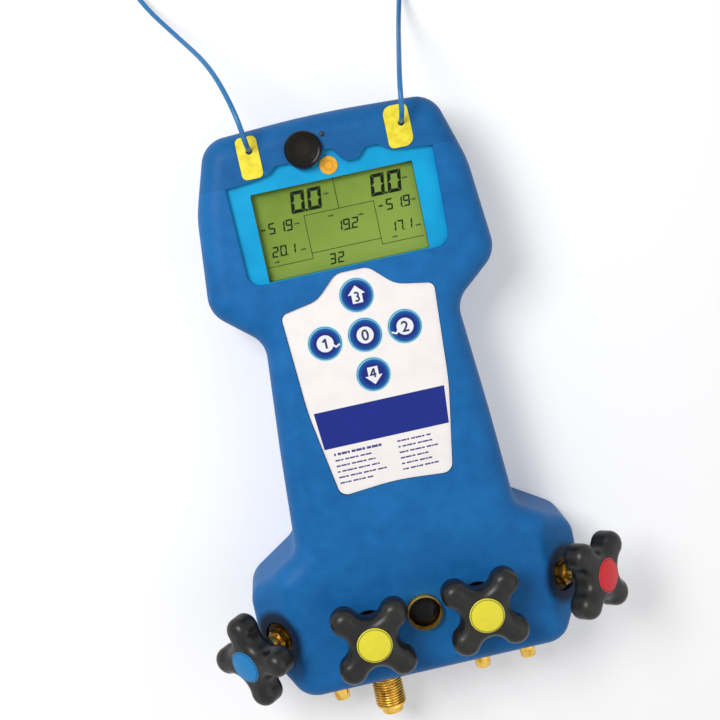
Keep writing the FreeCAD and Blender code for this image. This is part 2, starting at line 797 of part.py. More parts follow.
# Battery door with its plug part, cells, contacts
door_plate = prism("door_plate", door_corners, rear_face, door_seat, mm("running_gap / 2"))
door_plug = prism("door_plug", bay_corners, door_seat - 0.2, rear_inside, mm("running_gap"))
door_cuts = []
for index, spot in enumerate(door_screw_spots):
    door_cuts.append(cylinder(f"door_shank_{index}", "screw_diameter / 2 + fit_gap", "2 * shell_wall",
                              Placement(Vector(spot.x, spot.y, rear_face - 1), Rotation())))
keep(cut("battery_door", fuse("door_solid", [door_plate, door_plug]), door_cuts), "battery_door")

cell_axis = rear_inside + mm("running_gap + cell_diameter / 2")
cell_start = mm("bay_start + contact_thickness + contact_reach")
cells = []
for column, side in (("left", -1), ("right", 1)):
    for tier, start in (("lower", cell_start), ("upper", cell_start + mm("cell_length + cell_joint"))):
        cells.append(cylinder(f"cell_{column}_{tier}", "cell_diameter / 2", "cell_length", Placement(
            Vector(side * mm("cell_spacing / 2"), start, cell_axis), Rotation(Vector(1, 0, 0), -90))))
keep(doc.addObject("Part::Compound", "cells"), "batteries").Links = cells
contacts = []
for name, start, spring_start in (("foot", mm("bay_start"), mm("bay_start + contact_thickness / 2")),
                                  ("head", bay_end - mm("contact_thickness"),
                                   bay_end - mm("contact_thickness + contact_reach"))):
    strip = box(f"strip_{name}", "2 * strip_half_width", "contact_thickness", "strip_height",
                (-mm("strip_half_width"), start, rear_inside + bite))
    springs = [cylinder(f"spring_{name}_{side}", "spring_diameter / 2",
                        "contact_thickness / 2 + contact_reach",
                        Placement(Vector(side * mm("cell_spacing / 2"), spring_start, cell_axis),
                                  Rotation(Vector(1, 0, 0), -90))) for side in (-1, 1)]
    contacts.append(fuse(f"contact_{name}", [strip] + springs))
keep(fuse("contacts", contacts), "battery_contacts")

# Display stack: window, gasket, module, circuit board with its five switches
window_margin = mm("window_margin")
window_corners = rectangle(-mm("screen_half_width") - window_margin, mm("screen_half_width") + window_margin,
                           mm("screen_end") - window_margin,
                           mm("screen_end + screen_length") + window_margin, 1.5)
keep(prism("window", window_corners, window_face, shell_inside), "lcd_window")
gasket_hole = prism("gasket_hole", screen_corners, module_face - 1, window_face + 1)
gasket_block = prism("gasket_block", window_corners, module_face, window_face)
keep(cut("gasket", gasket_block, [gasket_hole]), "lcd_gasket")
module_inset = window_margin - mm("module_margin")
keep(prism("module", window_corners, board_face, module_face, module_inset), "lcd_module")

board_outline = rectangle(-mm("board_half_width"), mm("board_half_width"), mm("board_start"),
                          mm("board_end"), 3.0)
board_plate = prism("board_plate", board_outline, board_back, board_face)
switches = []
for key, spot in key_spots.items():
    half = mm("switch_width / 2")
    switches.append(box(f"switch_{key}", "switch_width", "switch_width", "switch_height * 0.8",
                        (spot.x - half, spot.y - half, board_face)))
    switches.append(cylinder(f"plunger_{key}", "plunger_diameter / 2", "switch_height",
                             Placement(Vector(spot.x, spot.y, board_face), Rotation())))
keep(fuse("board", [board_plate] + switches), "circuit_board")

# Keypad overlay and the five keys, which slide down onto their switches
pad_face = front_face + mm("pad_rise")
overlay_face = pad_face + mm("overlay_thickness")
overlay_holes = [cylinder(f"overlay_hole_{key}", "key_diameter / 2 + running_gap", "slope_run",
                          Placement(Vector(spot.x, spot.y, front_face), Rotation()))
                 for key, spot in key_spots.items()]
overlay_plate = prism("overlay_plate", label_outline(), pad_face, overlay_face)
keep(cut("overlay", overlay_plate, overlay_holes), "keypad_overlay")
key_face = overlay_face + mm("key_rise")
key_foot = board_face + mm("switch_height + key_travel")
for key, spot in key_spots.items():
    length = f"{key_face - key_foot}"
    collar = f"{key_face - key_foot} - key_thickness"
    keep(turned(f"{key}_body", [
        ("0", "0"),
        ("key_stem_diameter / 2", "0"),
        ("key_stem_diameter / 2", collar),
        ("key_diameter / 2", collar),
        ("key_diameter / 2", f"{length} - 0.3 * key_thickness"),
        ("key_diameter / 2 - 0.6 * key_thickness", length),
        ("0", length),
    ], Placement(Vector(spot.x, spot.y, key_foot), Rotation())), key)

# Things set in the hood and on the bezel
raised_form = shaped("raised_form", body_solid(-mm("gland_rise"), 0.0))
for side in gland_spots:
    gland_prism = prism(f"gland_prism_{side}", gland_outline(side), front - mm("gland_depth"), through)
    exit_point, next_point = [Vector(*point) for point in cord_routes[side][:2]]
    run = (next_point - exit_point).normalize()
    hole = cylinder(f"cord_hole_{side}", "cord_hole_diameter / 2", "cord_hole_depth + slope_run", Placement(
        exit_point - run * mm("cord_hole_rest"), Rotation(Vector(0, 0, 1), run)))
    gland_form = common(f"gland_form_{side}", gland_prism, raised_form)
    keep(cut(f"gland_{side}", gland_form, [hole]), f"cord_gland_{side}")

plug_top = "boot_wall + boot_gap + plug_rise"
keep(turned("plug_body", [
    ("0", "-plug_shank_length"),
    ("plug_shank_diameter / 2", "-plug_shank_length"),
    ("plug_shank_diameter / 2", "0"),
    ("plug_diameter / 2", "0"),
    ("plug_diameter / 2", plug_top + " - plug_rim"),
    ("plug_diameter / 2 - plug_rim / 3", plug_top + " - plug_rim / 3"),
    ("plug_diameter / 2 - plug_rim", plug_top),
    ("plug_diameter / 2 - 1.6 * plug_rim", plug_top + " - plug_dish / 3"),
    ("plug_diameter / 4", plug_top + " - plug_dish"),
    ("0", plug_top + " - 1.2 * plug_dish"),
], Placement(Vector(mm("plug_across"), mm("plug_station"), front_face), Rotation())), "front_plug")
keep(turned("lamp_body", [
    ("0", "-lamp_depth"),
    ("lamp_diameter / 2", "-lamp_depth"),
    ("lamp_diameter / 2", "shell_wall + boot_gap + boot_wall - 0.6"),
    ("0", "shell_wall + boot_gap + boot_wall - 0.3"),
], Placement(Vector(0, mm("lamp_station"), shell_inside), Rotation())), "status_lamp")
keep(cylinder("badge", "badge_diameter / 2", "badge_thickness",
              Placement(Vector(0, mm("badge_station"), front_face), Rotation())), "amber_badge")

# Hanging hook: a flat bail with its pivot rod, folded into its recess
hook_outside = prism("hook_outside", rectangle(-hook_half, hook_half, hook_pivot - mm("hook_length"),
                                               hook_pivot, 0.6, 8.0, 8.0, 0.6),
                     hook_back, hook_back + mm("hook_thickness"))
hook_inside = prism("hook_inside", rectangle(
    -hook_half + mm("hook_band"), hook_half - mm("hook_band"), hook_pivot - mm("hook_length - hook_band"),
    hook_pivot - mm("hook_band"), 1.0, 5.0, 5.0, 1.0), 0, front)
hook_rod = cylinder("hook_rod", "hook_thickness / 2", str(2 * lug_end - 3),
                    Placement(Vector(-lug_end + 1.5, hook_pivot, hook_axis_height), hook_turn))
keep(fuse("hook", [cut("hook_frame", hook_outside, [hook_inside]), hook_rod]), "hanging_hook")

# Housing screws from the rear, door screws
screws = []
screw_places = [Placement(spot, Rotation()) for spot in raised(boss_spots, rear_face + 1).values()]
for index, place in enumerate(screw_places):
    screws.append(turned(f"housing_screw_{index}", [
        ("0", "0"),
        ("screw_head_diameter / 2", "0"),
        ("screw_head_diameter / 2", "screw_head_height - 1"),
        ("screw_diameter / 2", "screw_head_height - 1"),
        ("screw_diameter / 2", "screw_head_height - 1 + screw_length"),
        ("0", "screw_head_height - 1 + screw_length"),
    ], place))
for index, spot in enumerate(door_screw_spots):
    screws.append(turned(f"door_screw_{index}", [
        ("0", "0"),
        ("screw_head_diameter / 2", "0"),
        ("screw_head_diameter / 2", "screw_head_height / 2"),
        ("screw_diameter / 2", "screw_head_height / 2"),
        ("screw_diameter / 2", "door_screw_length"),
        ("0", "door_screw_length"),
    ], Placement(Vector(spot.x, spot.y, rear_face - mm("screw_head_height / 2")), Rotation())))
keep(doc.addObject("Part::Compound", "screws"), "housing_screws").Links = screws

# Valve block: galleries from each port through its valve to the common gallery
block_form = shaped("block_form", body_solid(block_inset, mm("block_floor")))
block_outline = rectangle(-whole_width, whole_width, mm("base_end"), mm("block_end"), 1.0)
block_space = prism("block_space", block_outline, mm("block_floor") - 1, through)
block_bores = []
seat_depth = f"{block_inset} + bonnet_seat_depth"
for key, place in valve_places.items():
    for hole, diameter, depth in (("thread", "bonnet_thread_diameter", "bonnet_depth"),
                                  ("chamber", "stem_diameter + 2 * fit_gap", "chamber_depth"),
                                  ("orifice", "orifice_diameter", "orifice_depth"),
                                  ("seat", "bonnet_collar_diameter + 2 * running_gap", seat_depth)):
        bottom = Placement(Vector(0, 0, -mm(depth)), Rotation())
        block_bores.append(cylinder(f"{hole}_{key}", f"({diameter}) / 2", depth, place * bottom))
for key, place in port_places.items():
    bottom = Placement(Vector(0, 0, -mm("shank_length")), Rotation())
    block_bores.append(cylinder(f"port_thread_{key}", f"{port_kinds[key]}_shank_diameter / 2",
                                "shank_length + 5", place * bottom))
    inner = str(mm("passage_overrun") - port_face)
    bottom = Placement(Vector(0, 0, port_face - mm("passage_overrun")), Rotation())
    block_bores.append(cylinder(f"passage_{key}", "passage_diameter / 2", inner, place * bottom))
gallery_half = slope_middle - (slope_height - mm("gallery_height"))
block_bores.append(cylinder("gallery", "gallery_diameter / 2", str(2 * gallery_half), Placement(
    Vector(-gallery_half, 0, mm("gallery_height")), Rotation(Vector(0, 1, 0), 90))))
sight_bottom = sight_place * Placement(Vector(0, 0, -mm("sight_thread_depth")), Rotation())
block_bores.append(cylinder("sight_thread", "sight_thread_diameter / 2", "sight_thread_depth",
                            sight_bottom))
block_bores.append(cylinder("sight_well", "sight_well_diameter / 2", str(front - mm("gallery_height") + 3),
                           Placement(Vector(0, 0, mm("gallery_height") - 3), Rotation())))
sensor_spots = {"low": -mm("outer_port_spacing"), "high": mm("outer_port_spacing")}
sensor_turn = Rotation(Vector(1, 0, 0), -90)
for key, across in sensor_spots.items():
    shank_end = Vector(across, mm("block_end - sensor_shank_length"), mm("port_height"))
    block_bores.append(cylinder(f"sensor_thread_{key}", "sensor_shank_diameter / 2", "block_end + 1",
                                Placement(shank_end, sensor_turn)))
    block_bores.append(cylinder(f"sensor_passage_{key}", "passage_diameter / 4", "block_end + 1",
                                Placement(Vector(across, 0, mm("port_height")), sensor_turn)))
block = cut("block", common("block_blank", block_form, block_space), block_bores)
block.Refine = False
keep(block, "valve_block")

for key, across in sensor_spots.items():
    keep(turned(f"sensor_{key}", [
        ("0", "-sensor_shank_length"),
        ("sensor_shank_diameter / 2 - fit_gap", "-sensor_shank_length"),
        ("sensor_shank_diameter / 2 - fit_gap", "0"),
        ("sensor_diameter / 2", "0"),
        ("sensor_diameter / 2", "sensor_nut_length"),
        ("sensor_can_diameter / 2", "sensor_nut_length"),
        ("sensor_can_diameter / 2", "sensor_length"),
        ("0", "sensor_length"),
    ], Placement(Vector(across, mm("block_end"), mm("port_height")), sensor_turn)), f"pressure_sensor_{key}")


# Valves. Each one: bonnet and packing in the block, a piston that slides, and a handwheel that turns on it.
block_level = f"-{block_inset}"
seat_level = f"-({seat_depth})"


def knob_shape():
    # a cross of four round lobes joined by hollows, each arc tangent to the next
    lobe = mm("knob_lobe_radius")
    reach = mm("knob_reach") - lobe
    valley = mm("knob_valley")
    hollow = (reach ** 2 - math.sqrt(2) * reach * valley + valley ** 2 - lobe ** 2) \
        / (2 * lobe - 2 * valley + math.sqrt(2) * reach)
    centre = (valley + hollow) / math.sqrt(2)
    share = lobe / (lobe + hollow)
    meet = Vector(reach + (centre - reach) * share, centre * share, 0)
    edges = []
    for quarter in range(4):
        turn = Rotation(Vector(0, 0, 1), 90 * quarter)
        start = turn.multVec(Vector(meet.x, -meet.y, 0))
        tip = turn.multVec(Vector(mm("knob_reach"), 0, 0))
        end = turn.multVec(meet)
        low = turn.multVec(Vector(valley / math.sqrt(2), valley / math.sqrt(2), 0))
        following = turn.multVec(Vector(meet.y, meet.x, 0))
        edges.append(Part.Arc(start, tip, end).toShape())
        edges.append(Part.Arc(end, low, following).toShape())
    height = mm("knob_thickness")
    cross = Part.Face(Part.Wire(edges)).extrude(Vector(0, 0, height))
    front_rim = [edge for edge in cross.Edges if edge.BoundBox.ZMin > height - 0.01]
    cross = cross.makeFillet(mm("knob_front_round"), front_rim)
    rear_rim = [edge for edge in cross.Edges if edge.BoundBox.ZMax < 0.01]
    return cross.makeFillet(mm("knob_rear_round"), rear_rim)


knob_base = "(knob_start + knob_hub_height)"
knob_top = "(knob_start + knob_hub_height + knob_thickness)"
square_end = "(knob_start + stem_square_length)"
packings = []
bonnets = []
for key, place in valve_places.items():
    screwed = turned(f"bonnet_screw_{key}", [
        ("stem_diameter / 2 + fit_gap", "-bonnet_depth"),
        ("bonnet_thread_diameter / 2 - fit_gap", "-bonnet_depth"),
        ("bonnet_thread_diameter / 2 - fit_gap", seat_level),
        ("bonnet_collar_diameter / 2", seat_level),
        ("bonnet_collar_diameter / 2", "bonnet_collar_rise"),
        ("stem_diameter / 2 + fit_gap", "bonnet_collar_rise"),
        ("stem_diameter / 2 + fit_gap", "packing_start + packing_length"),
        ("packing_diameter / 2", "packing_start + packing_length"),
        ("packing_diameter / 2", "packing_start"),
        ("stem_diameter / 2 + fit_gap", "packing_start"),
    ], place)
    corner = f"(gland_nut_flats / {math.sqrt(3)})"
    hexagon = doc.addObject("Part::Prism", f"nut_hexagon_{key}")
    hexagon.Polygon = 6
    bind(hexagon, Circumradius=corner, Height="gland_nut_rise - bonnet_collar_rise + bite")
    hexagon.Placement = place * Placement(Vector(0, 0, mm("bonnet_collar_rise - bite")), Rotation())
    nut_form = turned(f"nut_form_{key}", [
        ("stem_diameter / 2 + fit_gap", "bonnet_collar_rise - bite"),
        (corner, "bonnet_collar_rise - bite"),
        (corner, "gland_nut_rise - gland_nut_chamfer"),
        (f"{corner} - gland_nut_chamfer", "gland_nut_rise"),
        ("stem_diameter / 2 + fit_gap", "gland_nut_rise"),
    ], place)
    bonnets.append(fuse(f"bonnet_{key}", [screwed, common(f"nut_{key}", hexagon, nut_form)]))
    packings.append(turned(f"packing_{key}", [
        ("stem_diameter / 2 + fit_gap", "packing_start"),
        ("packing_diameter / 2", "packing_start"),
        ("packing_diameter / 2", "packing_start + packing_length"),
        ("stem_diameter / 2 + fit_gap", "packing_start + packing_length"),
    ], place))
    keep(turned(f"piston_{key}", [
        ("0", "-chamber_depth + running_gap"),
        ("stem_diameter / 2 - piston_clearance - piston_chamfer", "-chamber_depth + running_gap"),
        ("stem_diameter / 2 - piston_clearance", "-chamber_depth + running_gap + 2 * piston_chamfer"),
        ("stem_diameter / 2 - piston_clearance", "-stem_depth - running_gap"),
        ("0", "-stem_depth - running_gap"),
    ], place), f"{key}_piston")
    rod = cylinder(f"rod_{key}", "stem_diameter / 2", "stem_depth + knob_start")
    rod.Placement = Placement(Vector(0, 0, -mm("stem_depth")), Rotation())
    half = mm("stem_square / 2")
    square = box(f"square_{key}", "stem_square", "stem_square", "stem_square_length",
                 (-half, -half, mm("knob_start")))
    spin = Placement(Vector(), Rotation(Vector(0, 0, 1), knob_turns[key]))
    stem = fuse(f"stem_{key}", [rod, square])
    stem.Placement = place * spin
    keep(stem, f"{key}_stem")
    cross = shaped(f"cross_{key}", knob_shape(), Placement(Vector(0, 0, mm(knob_base)), Rotation()))
    hub = cylinder(f"hub_{key}", "knob_hub_diameter / 2", "knob_hub_height + 1",
                   Placement(Vector(0, 0, mm("knob_start")), Rotation()))
    seat = cylinder(f"cap_seat_{key}", "cap_diameter / 2 + fit_gap", "cap_recess + 1",
                    Placement(Vector(0, 0, mm(knob_top + " - cap_recess")), Rotation()))
    drive = box(f"drive_{key}", "stem_square", "stem_square", "stem_square_length",
                (-half, -half, mm("knob_start")))
    knob = cut(f"knob_{key}", fuse(f"knob_form_{key}", [cross, hub]), [seat, drive])
    knob.Placement = place * spin
    keep(knob, f"{key}_knob")
    keep(turned(f"cap_{key}", [
        ("0", knob_top + " - cap_recess"),
        ("cap_diameter / 2", knob_top + " - cap_recess"),
        ("cap_diameter / 2", knob_top),
        ("cap_diameter / 2 - 0.5", knob_top + " + cap_dome * 0.4"),
        ("cap_diameter / 4", knob_top + " + cap_dome * 0.85"),
        ("0", knob_top + " + cap_dome"),
    ], place), f"{key}_cap")
keep(doc.addObject("Part::Compound", "bonnets"), "valve_bonnets").Links = bonnets
keep(doc.addObject("Part::Compound", "packing_rings"), "stem_packings").Links = packings

# Sight glass
keep(turned("sight_ring_body", [
    ("sight_well_diameter / 2", "-sight_thread_depth"),
    ("sight_thread_diameter / 2 - fit_gap", "-sight_thread_depth"),
    ("sight_thread_diameter / 2 - fit_gap", block_level),
    ("sight_diameter / 2", block_level),
    ("sight_diameter / 2", "sight_rise - 0.6"),
    ("sight_diameter / 2 - 0.6", "sight_rise"),
    ("sight_lens_diameter / 2 + fit_gap", "sight_rise"),
    ("sight_lens_diameter / 2 + fit_gap", "sight_lens_seat"),
    ("sight_well_diameter / 2", "sight_lens_seat"),
], sight_place), "sight_ring")
keep(turned("sight_lens_body", [
    ("0", "sight_lens_seat"),
    ("sight_lens_diameter / 2", "sight_lens_seat"),
    ("sight_lens_diameter / 2", "sight_lens_seat + sight_lens_thickness"),
    ("sight_lens_diameter / 4", "sight_lens_seat + sight_lens_thickness + 0.4"),
    ("0", "sight_lens_seat + sight_lens_thickness + 0.5"),
], sight_place), "sight_lens")

# Port fittings
for key, place in port_places.items():
    kind = port_kinds[key]
    thread_end = f"{kind}_thread_length"
    tip = f"{kind}_thread_length + {kind}_nose_length"
    keep(turned(f"port_{key}", [
        (f"{kind}_bore / 2", "-shank_length"),
        (f"{kind}_shank_diameter / 2 - fit_gap", "-shank_length"),
        (f"{kind}_shank_diameter / 2 - fit_gap", "0"),
        (f"{kind}_collar_diameter / 2", "0"),
        (f"{kind}_collar_diameter / 2", "collar_length"),
        (f"{kind}_thread_diameter / 2", "collar_length"),
        (f"{kind}_thread_diameter / 2", thread_end),
        (f"{kind}_nose_diameter / 2", thread_end),
        (f"{kind}_nose_tip / 2", tip),
        (f"{kind}_bore / 2", tip),
    ], place), f"{key}_port")

# Probe cords, each with its coil, tie and probe
coil_centres = {"left": (-98.0, 360.0), "right": (75.0, 326.0)}
probe_sides = {"left": 1, "right": -1}


def cord_tube(label, route, radius):
    points = [Vector(*point) for point in route]
    edges = []
    last = points[0]
    radii = []
    for index in range(1, len(points) - 1):
        before, here, after = points[index - 1], points[index], points[index + 1]
        half_turn = ((here - before).getAngle(after - here)) / 2
        shorter = min(here.distanceToPoint(before), after.distanceToPoint(here))
        bend = 0.45 * shorter / math.tan(half_turn)
        radii.append(round(bend, 1))
        start, middle, end = corner_arc(before, here, after, bend)
        edges.append(Part.LineSegment(last, start).toShape())
        edges.append(Part.Arc(start, middle, end).toShape())
        last = end
    edges.append(Part.LineSegment(last, points[-1]).toShape())
    path = Part.Wire(edges)
    section = Part.Wire(Part.makeCircle(radius, points[0], points[1] - points[0]))
    tube = path.makePipeShell([section], True, False)
    expected = math.pi * radius ** 2 * path.Length
    print(label, "bend radii", radii, "length", round(path.Length, 1))
    print(label, "volume", round(tube.Volume / expected, 4))
    return tube


coil_height = mm("coil_section + tie_thickness + running_gap")
for side, route in cord_routes.items():
    keep(shaped(f"tube_{side}", cord_tube(side, route, mm("cord_diameter / 2"))), f"cord_{side}")
    centre = Vector(*coil_centres[side], coil_height)
    coil = doc.addObject("Part::Torus", f"ring_{side}")
    bind(coil, Radius1="coil_radius", Radius2="coil_section")
    coil.Placement = Placement(centre, Rotation())
    keep(coil, f"coil_{side}")
    tie_place = Placement(centre + Vector(0, mm("coil_radius"), 0), Rotation(Vector(0, 1, 0), 90))
    keep(turned(f"band_{side}", [
        ("coil_section + running_gap - fit_gap", "-tie_width / 2"),
        ("coil_section + running_gap + tie_thickness - fit_gap", "-tie_width / 2"),
        ("coil_section + running_gap + tie_thickness - fit_gap", "tie_width / 2"),
        ("coil_section + running_gap - fit_gap", "tie_width / 2"),
    ], tie_place), f"cord_tie_{side}")
    probe_start = Vector(centre.x + probe_sides[side] * mm("coil_radius"),
                         centre.y + mm("coil_radius + tie_width") - 0.8,
                         mm("probe_sleeve_diameter / 2") + 0.2)
    keep(turned(f"rod_of_probe_{side}", [
        ("0", "0"),
        ("probe_sleeve_diameter / 2", "0"),
        ("probe_sleeve_diameter / 2", "probe_sleeve_length"),
        ("probe_tip_diameter / 2", "probe_sleeve_length"),
        ("probe_tip_diameter / 2", "probe_sleeve_length + probe_tip_length"),
        ("0", "probe_sleeve_length + probe_tip_length"),
    ], Placement(probe_start, Rotation(Vector(1, 0, 0), -90))), f"probe_{side}")

doc.recompute()
for item in doc.Objects:
    if "Invalid" in item.State or "Error" in item.State:
        raise RuntimeError(f"{item.Name} failed: {item.State}")
for item in nodes:
    if item.Shape.isNull() or not item.Shape.isValid():
        raise RuntimeError(f"{item.Label} has no valid shape")

os.makedirs("parts", exist_ok=True)
for item in nodes:
    item.Shape.exportStep(f"parts/{item.Label}.step")
print(len(nodes), "nodes written")
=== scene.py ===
# Digital manifold gauge in a rubber boot: finishes and fine pieces round the CAD frame
import math

import bmesh
import bpy
from mathutils import Matrix, Vector


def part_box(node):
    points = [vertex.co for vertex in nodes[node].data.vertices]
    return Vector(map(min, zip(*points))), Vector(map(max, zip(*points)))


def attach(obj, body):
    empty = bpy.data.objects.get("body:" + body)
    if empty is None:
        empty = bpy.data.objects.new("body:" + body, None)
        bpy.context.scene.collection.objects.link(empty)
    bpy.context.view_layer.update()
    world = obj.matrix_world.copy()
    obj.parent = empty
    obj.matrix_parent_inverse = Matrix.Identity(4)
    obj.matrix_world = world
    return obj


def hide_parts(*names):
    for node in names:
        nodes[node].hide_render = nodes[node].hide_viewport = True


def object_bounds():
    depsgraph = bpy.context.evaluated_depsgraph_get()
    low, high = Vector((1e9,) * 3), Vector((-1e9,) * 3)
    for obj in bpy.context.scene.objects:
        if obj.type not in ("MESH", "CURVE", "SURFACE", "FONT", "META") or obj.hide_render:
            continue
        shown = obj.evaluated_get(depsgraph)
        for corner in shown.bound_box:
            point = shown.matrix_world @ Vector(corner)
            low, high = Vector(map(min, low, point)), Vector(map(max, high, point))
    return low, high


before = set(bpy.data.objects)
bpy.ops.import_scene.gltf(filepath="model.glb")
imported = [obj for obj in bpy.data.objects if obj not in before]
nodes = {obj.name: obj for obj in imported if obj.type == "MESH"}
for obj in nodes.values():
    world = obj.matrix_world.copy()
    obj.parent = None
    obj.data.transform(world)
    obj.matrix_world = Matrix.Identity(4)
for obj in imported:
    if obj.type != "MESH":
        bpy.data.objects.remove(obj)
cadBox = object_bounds()
millimetre = 0.001
print("frame loaded:", len(nodes), "nodes")


def mm(*lengths):
    return Vector([length * millimetre for length in lengths])


# Camera: the view of the photograph, turned a little clockwise above the keypad
camera = {
    "aim": mm(-5.06, 132.53, 56.0),
    "distance": 700 * millimetre,
    "lean": math.radians(9.0),      # towards the head, off straight above
    "swing": math.radians(2.0),     # towards the left
    "roll": math.radians(12.2),
    "lens": 71.43,
    "sensor": 36.0,
    "nearest": 10 * millimetre,
}


def addCamera(setup):
    lean, swing, roll = setup["lean"], setup["swing"], setup["roll"]
    outward = Vector((-math.sin(swing) * math.cos(lean), math.sin(lean),
                      math.cos(swing) * math.cos(lean)))
    upright = Vector((0, 1, 0)) - outward * outward.y
    upright.normalize()
    across = upright.cross(outward)
    right = across * math.cos(roll) - upright * math.sin(roll)
    up = across * math.sin(roll) + upright * math.cos(roll)
    data = bpy.data.cameras.new("photoCamera")
    data.lens = setup["lens"]
    data.sensor_width = setup["sensor"]
    data.clip_start = setup["nearest"]
    item = bpy.data.objects.new("photoCamera", data)
    bpy.context.scene.collection.objects.link(item)
    turn = Matrix((right, up, outward)).transposed().to_4x4()
    item.matrix_world = Matrix.Translation(setup["aim"] + outward * setup["distance"]) @ turn
    bpy.context.scene.camera = item


addCamera(camera)
bpy.context.scene.view_settings.view_transform = "Standard"
print("camera placed")


# Shader writing: sums and products of sockets make their Math nodes
class Field:
    def __init__(self, finish, socket):
        self.finish = finish
        self.socket = socket

    def maths(self, operation, *values):
        return self.finish.node("ShaderNodeMath", {"operation": operation}, dict(enumerate(values)))

    def __add__(self, other):
        return self.maths("ADD", self, other)

    def __radd__(self, other):
        return self.maths("ADD", other, self)

    def __sub__(self, other):
        return self.maths("SUBTRACT", self, other)

    def __rsub__(self, other):
        return self.maths("SUBTRACT", other, self)

    def __mul__(self, other):
        return self.maths("MULTIPLY", self, other)

    def __truediv__(self, other):
        return self.maths("DIVIDE", self, other)

    def __abs__(self):
        return self.maths("ABSOLUTE", self)

    def least(self, other):
        return self.maths("MINIMUM", self, other)

    def most(self, other):
        return self.maths("MAXIMUM", self, other)

    def sine(self):
        return self.maths("SINE", self)

    def root(self):
        return self.maths("SQRT", self)

    def fraction(self):
        return self.maths("FRACT", self)

    def ramp(self, low, high):
        # 0 below low and 1 above high, smooth between
        return self.finish.node("ShaderNodeMapRange", {"interpolation_type": "SMOOTHSTEP"},
                                {"Value": self, "From Min": low, "From Max": high})

    def between(self, rise, fall):
        # 1 after the rise and before the fall, each a pair for a ramp
        return self.ramp(*rise) * (1 - self.ramp(*fall))


class Finish:
    def __init__(self, name, colour, **constants):
        self.material = bpy.data.materials.new(name)
        self.material.use_nodes = True
        self.tree = self.material.node_tree
        self.shader = self.tree.nodes["Principled BSDF"]
        self.shader.inputs["Base Color"].default_value = (*colour, 1.0)
        for socket, value in constants.items():
            self.shader.inputs[socket.replace("_", " ")].default_value = value
        self.places = {}

    def node(self, kind, settings=None, inputs=None, output=0):
        made = self.tree.nodes.new(kind)
        for name, value in (settings or {}).items():
            setattr(made, name, value)
        for name, value in (inputs or {}).items():
            if isinstance(value, Field):
                self.tree.links.new(value.socket, made.inputs[name])
            elif value is not None:
                made.inputs[name].default_value = value
        return Field(self, made.outputs[output])

    def place(self, centre=(0, 0, 0), turn=(0, 0, 0)):
        # the object's own coordinates, moved to a centre and turned
        key = (tuple(centre), tuple(turn))
        if key not in self.places:
            spot = self.node("ShaderNodeTexCoord", output="Object")
            self.places[key] = self.node(
                "ShaderNodeMapping", {"vector_type": "TEXTURE"},
                {"Vector": spot, "Location": tuple(centre), "Rotation": tuple(turn)})
        return self.places[key]

    def axes(self, centre=(0, 0, 0), turn=(0, 0, 0)):
        spot = self.place(centre, turn)
        return [self.node("ShaderNodeSeparateXYZ", inputs={"Vector": spot}, output=index)
                for index in range(3)]

    def noise(self, scale, detail=3.0, roughness=0.5):
        return self.node("ShaderNodeTexNoise", inputs={
            "Vector": self.place(), "Scale": scale, "Detail": detail, "Roughness": roughness})

    def apart(self, centre, turn=(0, 0, 0)):
        # distance from the line through a centre, along its turned Z
        x, y, z = self.axes(centre, turn)
        return (x * x + y * y).root()

    def cells(self, scale):
        return self.node("ShaderNodeTexVoronoi", inputs={"Vector": self.place(), "Scale": scale})

    def mix(self, share, low, high):
        # colours go through a Mix node
        made = self.tree.nodes.new("ShaderNodeMix")
        made.data_type = "RGBA"
        for socket, value in ((0, share), (6, low), (7, high)):
            if isinstance(value, Field):
                self.tree.links.new(value.socket, made.inputs[socket])
            else:
                made.inputs[socket].default_value = value if socket == 0 else (*value, 1.0)
        return Field(self, made.outputs[2])

    def feed(self, socket, value):
        self.tree.links.new(value.socket, self.shader.inputs[socket])

    def relief(self, height, strength, depth):
        # bumps, their depth in millimetres
        self.feed("Normal", self.node("ShaderNodeBump", inputs={
            "Height": height, "Strength": strength, "Distance": depth * millimetre}))


def linear(red, green, blue):
    # a colour as a picture shows it, 0 to 255, as the light it gives
    def light(level):
        share = level / 255
        return share / 12.92 if share <= 0.04045 else ((share + 0.055) / 1.055) ** 2.4

    return light(red), light(green), light(blue)


def shade(colour, factor):
    return tuple(min(1.0, level * factor) for level in colour)


# Floor and light
studio = {
    "floorReach": 3.0,
    "floorGap": 0.05 * millimetre,
    "floorColour": (0.84, 0.84, 0.85),
    "floorGlow": 0.24,
    "worldLevel": 0.37,
    "keyPower": 7.6,
    "keySize": 0.42,
    "keyPlace": mm(-420, 560, 900),
    "fillPower": 1.7,
    "fillSize": 0.9,
    "fillPlace": mm(620, -200, 800),
}


def seenRays(tree):
    rays = tree.nodes.new("ShaderNodeLightPath")
    share = None
    for name in ("Is Camera Ray", "Is Glossy Ray", "Is Transmission Ray"):
        if share is None:
            share = rays.outputs[name]
            continue
        either = tree.nodes.new("ShaderNodeMath")
        either.operation = "MAXIMUM"
        tree.links.new(share, either.inputs[0])
        tree.links.new(rays.outputs[name], either.inputs[1])
        share = either.outputs[0]
    return share


